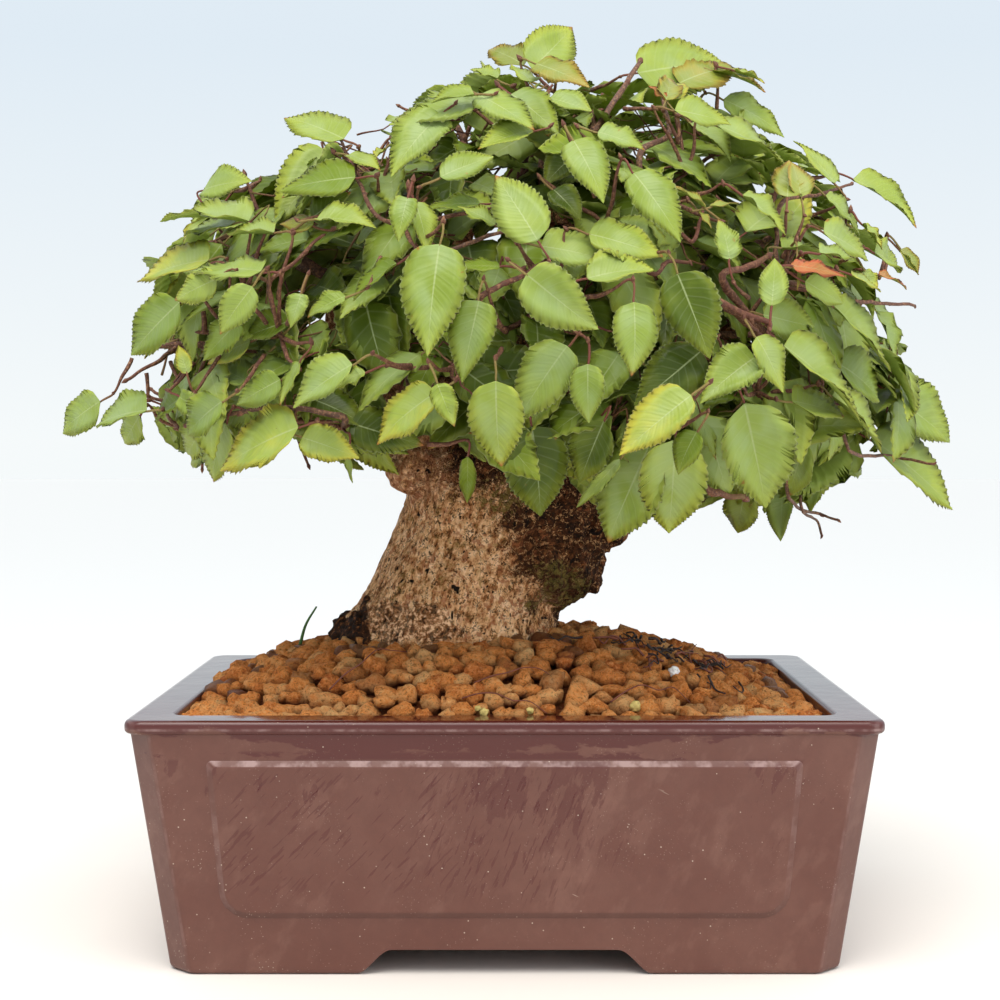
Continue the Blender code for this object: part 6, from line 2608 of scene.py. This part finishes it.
@dataclass
class Shoots:
    """Stems, twigs, stalks and buds of a group of sprays, made into one piece."""

    growth: Growth
    longest: float = 11.0
    traced_share: float = 1.4
    woody: float = 10.0
    sag: float = 0.08
    longest_neck: float = 5.0
    neck_share: float = 0.42
    stem: Form = Form((1.55, 1.05, 0.62), (2.0, 1.7, 1.4), 8, 7, 0.5)
    twig: Form = Form((0.75, 0.57, 0.40), (1.5, 1.3, 1.0), 8, 7, 0.5)
    woody_stalk: Form = Form((0.60, 0.46, 0.31, 0.28), (1.4, 1.2, 0.6, 0.2), 5, 6, 0.35)
    stalk: Form = Form((0.42, 0.32, 0.27, 0.27), (0.9, 0.3, 0.2, 0.1), 4, 6, 0.0)
    inner_stalk: Form = Form((0.38, 0.29, 0.23, 0.23), (1.3, 0.8, 0.3, 0.1), 2, 4, 0.2)

    @staticmethod
    def lay(batch: Batch, points: Sequence[Point], form: Form, chance: float,
            first_age: Optional[float] = None) -> Array:
        """Adds one smooth shoot.

        Args:
            batch: what it is added to.
            points: its bends.
            form: how it is drawn.
            chance: its own number, 0 to 1.
            first_age: its age at the first bend, if not its form's.

        Returns:
            Its path.
        """
        ages = form.ages if first_age is None else (first_age, *form.ages[1:])
        bends = [(*p, r, a) for p, r, a in zip(points, form.radii, ages, strict=True)]
        line = smooth_line(bends, form.steps)
        path, radius, age = line[:, :3], line[:, 3], line[:, 4]
        if form.wander:
            for axis in range(3):
                path[1:-1, axis] += Noise(50 + axis).at(path[1:-1], 3.4) * form.wander
            radius = radius * (1 + 0.16 * Noise(53).at(path, 2.2))
        shape, quads, caps = pipe(path, radius, form.sides)
        growth = [np.repeat(age, form.sides), np.full(len(shape), chance), np.zeros(len(shape))]
        batch.add(shape, quads, caps, growth=np.stack(growth, 1))
        return path

    @staticmethod
    def bud(batch: Batch, place: Array, way: Array, size: float) -> None:
        """Adds a pointed bud.

        Args:
            batch: what it is added to.
            place: its foot.
            way: the way that it points.
            size: its radius in mm.
        """
        path = np.array([place - way * 0.4, place + way * size * 0.5, place + way * size * 1.3,
                         place + way * size * 2.2])
        shape, quads, caps = pipe(path, np.array([0.5, 0.8, 0.55, 0.05]) * size, 6)
        batch.add(shape, quads, caps, growth=(1.0, 0.9, 0.0))

    def stems(self, batch: Batch, numbers: Sequence[int], draw: Chance) -> None:
        """Adds the stems and twigs of some sprays, each with a bud at its end.

        Args:
            batch: what they are added to.
            numbers: the sprays' numbers.
            draw: the source of chance.
        """
        for number in numbers:
            for line in self.growth.sprays[number].lines:
                form = self.stem
                if len(line) == 2:
                    start, end = line
                    side = (end - start).cross(Vector((0, 0, 1))) * draw.uniform(-0.12, 0.12)
                    line, form = [start, start.lerp(end, 0.5) + side, end], self.twig
                path = self.lay(batch, line, form, draw.random())
                self.bud(batch, path[-1], unit(path[-1] - path[-2]), draw.uniform(0.6, 0.95))

    def seen_twigs(self, batch: Batch, numbers: Sequence[int], draw: Chance) -> None:
        """Adds the twigs that the photograph shows on some sprays, with buds along their ends.

        Args:
            batch: what they are added to.
            numbers: the sprays' numbers.
            draw: the source of chance.
        """
        for number, line, radius, age in self.growth.shoots:
            if number not in numbers:
                continue
            radii = tuple(radius * (0.80 - 0.10 * k) for k in range(len(line)))
            ages = tuple(age + 0.5 - 0.2 * k for k in range(len(line)))
            path = self.lay(batch, line, Form(radii, ages, 6, 7, 0.4), draw.random())
            for k in (-9, -5, -1):
                way = unit(path[k] - path[k - 1]) + np.array([draw.gauss(0, 0.5) for _ in range(3)])
                self.bud(batch, path[k], unit(way), radius * draw.uniform(0.6, 0.9))

    def carry_leaf(self, batch: Batch, leaf: Leaf, draw: Chance) -> None:
        """Adds a leaf's stalk, which starts nearer to the leaf if it would be too long.

        Args:
            batch: what the stalk is added to.
            leaf: the leaf.
            draw: the source of chance.
        """
        reach = (leaf.base - leaf.root).length
        longest = self.longest if leaf.sway == 1.0 else self.traced_share * self.longest
        if reach > longest:
            leaf.root = leaf.base.lerp(leaf.root, longest / reach)
            reach = longest
        neck = leaf.base + leaf.out * 0.15 - leaf.along * 0.05 * leaf.length
        sag = Vector((0, 0, -self.sag * reach)) + leaf.out * self.sag * reach
        back = neck - leaf.along * min(self.longest_neck, self.neck_share * reach)
        middle = leaf.root.lerp(back, 0.5) + sag * draw.uniform(0.2, 1.0)
        bends = (leaf.root, middle, back, neck + leaf.along * 0.7)
        if leaf.fine and reach > self.woody:
            self.lay(batch, bends, self.woody_stalk, draw.random())
            way = np.array(-leaf.along + leaf.out).astype(float) * 0.7
            self.bud(batch, np.array(back), way, draw.uniform(0.6, 0.9))
        else:
            form = self.stalk if leaf.fine else self.inner_stalk
            age = draw.uniform(0.2, form.ages[0])
            self.lay(batch, bends, form, draw.random(), age)

    def build(self, name: str, numbers: Sequence[int], leaves: list[Leaf], nodes: list[str],
              finish: Material, draw: Chance) -> None:
        """Makes one piece of the shoots of some sprays.

        Args:
            name: the piece's name.
            numbers: the sprays' numbers, from 0.
            leaves: the leaves that they carry.
            nodes: the CAD nodes that it stands for.
            finish: the shoot material.
            draw: the source of chance.
        """
        batch = Batch("growth")
        self.stems(batch, numbers, draw)
        self.seen_twigs(batch, numbers, draw)
        for leaf in leaves:
            self.carry_leaf(batch, leaf, draw)
        hand_over(batch.build(name, finish), "bark", nodes)


@dataclass
class Crown:
    """The leafy crown: the growth, its leaves and its shoots, in groups of sprays."""

    wood: Wood
    fillers: int = 1050
    groups: tuple[tuple[str, tuple[int, ...]], ...] = (
        ("skirt_front", (0, 1, 2, 8, 9)), ("skirt_back", (3, 4, 5, 6, 7)),
        ("lower_front", (10, 11, 12, 17, 18)), ("lower_back", (13, 14, 15, 16)),
        ("upper_front", (19, 20, 25, 26)), ("upper_back", (21, 22, 23, 24)),
        ("shoulder", (27, 28, 29, 30, 31)), ("top", (32, 33)))

    def build(self) -> None:
        """Grows the crown and makes its pieces."""
        growth = Growth(self.wood)
        growth.grow()
        LOG.info("leaves as in the CAD: %d", len(growth.leaves))
        growth.settle()
        growth.detail()
        growth.fill(self.fillers)
        LOG.info("leaves in all: %d", len(growth.leaves))
        leaf, shoot = LeafFinish().make(), ShootFinish().make()
        foliage = Foliage(Blade(), Blade(veins=7, lines=2))
        shoots = Shoots(growth)
        draw = Chance(SEED + 2)
        for name, numbers in self.groups:
            own = [each for each in growth.leaves if each.spray in numbers]
            nodes = [f"leafy_spray_{number + 1:02d}" for number in numbers]
            foliage.build(f"leaves_{name}", own, nodes, leaf, draw)
            shoots.build(f"shoots_{name}", numbers, own, nodes, shoot, draw)


# Bits on the soil


@dataclass
class Litter:
    """What lies on the soil: fine roots, a white bead, dry bits and a blade of grass."""

    soil: SoilBed
    red: Colour = (0.20, 0.055, 0.028)
    dark: Colour = (0.040, 0.022, 0.016)
    straw: Colour = (0.60, 0.46, 0.14)
    white: Colour = (0.85, 0.83, 0.80)
    green: Colour = (0.06, 0.16, 0.03)
    clump: int = 46
    bits: tuple[tuple[int, int, float], ...] = (
        (635, 712, 1.5), (530, 716, 0.9), (484, 718, 1.1), (478, 714, 0.8))

    @staticmethod
    def strand(batch: Batch, points: Sequence[Point], radius: float, dye: Colour) -> None:
        """Adds a thin strand along points.

        Args:
            batch: what it is added to.
            points: its bends.
            radius: its radius at the start.
            dye: its colour.
        """
        line = smooth_line(points, 6)
        shape, quads, caps = pipe(line, radius * (1 - 0.5 * np.linspace(0, 1, len(line))), 5)
        batch.add(shape, quads, caps, dye=dye)

    @staticmethod
    def crumb(batch: Batch, place: Vector, size: Point, dye: Colour, seed: int) -> None:
        """Adds a lump of the given half sizes.

        Args:
            batch: what it is added to.
            place: its middle.
            size: its half sizes.
            dye: its colour.
            seed: tells its shape from others.
        """
        points, faces = ball(3)
        shape = points * (1 + 0.30 * Noise(seed).at(points * 2, 1.0))[:, None] * np.asarray(size)
        batch.add(shape + np.array(place), triangles=faces, dye=dye)

    def build(self) -> None:
        """Makes the litter and hands it over."""
        batch = Batch("dye")
        draw = Chance(SEED + 9)
        for px, py in ((462, 708), (474, 690), (330, 694), (610, 704)):
            start, points = self.soil.seen_at(px, py), []
            way = draw.uniform(-0.4, 0.7)
            for k in range(6):
                x = start.x + 4.2 * k * math.cos(way)
                y = start.y + 4.2 * k * math.sin(way) + draw.uniform(-2, 2)
                points.append((x, y, self.soil.height(x, y) + 1.5 + 3.2 * math.sin(math.pi * k / 5)))
            self.strand(batch, points, 0.22, self.red)
        middle = self.soil.seen_at(680, 662)
        for _ in range(self.clump):
            x, y, points = middle.x + draw.gauss(0, 7.5), middle.y + draw.gauss(0, 5.0), []
            way = draw.uniform(0, 6.28)
            for _ in range(5):
                x += 2.2 * math.cos(way)
                y += 2.2 * math.sin(way)
                way += draw.gauss(0, 0.6)
                points.append((x, y, self.soil.height(x, y) + draw.uniform(0.5, 2.8)))
            radius = draw.uniform(0.22, 0.45)
            self.strand(batch, points, radius, self.dark if draw.random() < 0.7 else self.red)
        bead = self.soil.seen_at(673, 676) + Vector((0, -1.0, 1.2))
        self.crumb(batch, bead, (1.5, 1.4, 1.3), self.white, 61)
        for px, py, size in self.bits:
            place = self.soil.seen_at(px, py) + Vector((0, -0.5, 1.4))
            self.crumb(batch, place, (size, size * 0.6, size * 0.9), self.straw, 62 + px)
        grass = self.soil.seen_at(300, 645)
        self.strand(batch, (grass, grass + Vector((1.6, 0, 5.5)), grass + Vector((4.6, -1, 10.5))), 0.5,
                    self.green)
        hand_over(batch.build("soil_litter", LitterFinish().make()), "clay_granules")


# Studio


@dataclass
class Studio:
    """Pale floor, soft light, a sky that pales downwards and the camera at the eye's place."""

    floor_radius: float = 6000.0
    floor_sides: int = 96
    lens: float = 69.05
    sensor: float = 36.0
    horizon: Colour = (0.920, 0.958, 0.965)
    low_sky: Colour = (0.745, 0.835, 0.912)
    high_sky: Colour = (0.850, 0.930, 1.000)
    sun: Colour = (1.0, 0.91, 0.80)
    sun_power: float = 1.7
    sun_width: float = 40.0

    def floor(self) -> None:
        """Makes the floor."""
        ring = [(self.floor_radius * math.cos(t), self.floor_radius * math.sin(t), 0.0)
                for t in np.linspace(0, FULL_TURN, self.floor_sides, endpoint=False)]
        mesh = bpy.data.meshes.new("floor")
        mesh.from_pydata([Vector(p) * MM for p in ring], [], [tuple(range(len(ring)))])
        mesh.materials.append(FloorFinish().make())
        made = place_in_scene("floor", mesh)

    def sky(self) -> None:
        """Makes the world's pale sky."""
        board = Board(bpy.data.worlds.new("sky"))
        height = board.split(board.add("ShaderNodeTexCoord", output="Generated"))[2]
        shade = board.ramp(height, (0.0, self.horizon), (0.20, self.low_sky), (0.25, self.low_sky),
                           (0.50, self.high_sky))
        light = board.add("ShaderNodeBackground", sockets={"Color": shade, "Strength": 1.0})
        bpy.context.scene.world = board.done(light, "ShaderNodeOutputWorld")

    @staticmethod
    def lamp(name: str, place: Point, aim: Point, size: float, power: float) -> None:
        """Adds a square soft light.

        Args:
            name: its name.
            place: where it hangs, in mm.
            aim: what it points at, in mm.
            size: its side, in mm.
            power: its power in watts.
        """
        light = bpy.data.lights.new(name, "AREA")
        light.size, light.energy = size * MM, power
        made = place_in_scene(name, light)
        made.location = Vector(place) * MM
        made.rotation_euler = (Vector(aim) - Vector(place)).to_track_quat("-Z", "Y").to_euler()

    def soft_sun(self) -> None:
        """Adds warm light from above, as wide as a bright overcast sky."""
        light = bpy.data.lights.new("soft_sun", "SUN")
        light.energy, light.angle, light.color = self.sun_power, math.radians(self.sun_width), self.sun
        place_in_scene("soft_sun", light).rotation_euler = (math.radians(24), math.radians(-3), 0)

    def camera(self) -> None:
        """Makes the camera that sees the photograph's view."""
        data = bpy.data.cameras.new("camera")
        data.lens, data.sensor_width, data.clip_start = self.lens, self.sensor, 0.01
        data.shift_x = (EYE.side / 2 - EYE.centre[0]) / EYE.side
        data.shift_y = -(EYE.side / 2 - EYE.centre[1]) / EYE.side
        made = place_in_scene("camera", data)
        made.location = Vector(EYE.place) * MM
        made.rotation_euler = (math.radians(90), 0, 0)
        bpy.context.scene.camera = made

    def build(self) -> None:
        """Makes the whole studio."""
        self.floor()
        self.sky()
        self.soft_sun()
        self.lamp("key", (-180, -620, 900), (0, 0, 110), 700, 4.9)
        self.lamp("fill", (650, -500, 420), (0, 0, 130), 700, 2.6)
        self.camera()
        bpy.context.scene.view_settings.view_transform = "Standard"


def main() -> None:
    """Builds the sub-assemblies in order."""
    logging.basicConfig(level=logging.INFO, format="%(name)s: %(message)s")
    Studio().build()
    pot, wood = Pot(), Wood()
    soil = SoilBed(pot)
    pot.build()
    DrainScreens().dress()
    soil.build()
    BarkSkin(wood).build()
    Crown(wood).build()
    Litter(soil).build()


if __name__ == "__main__":
    main()
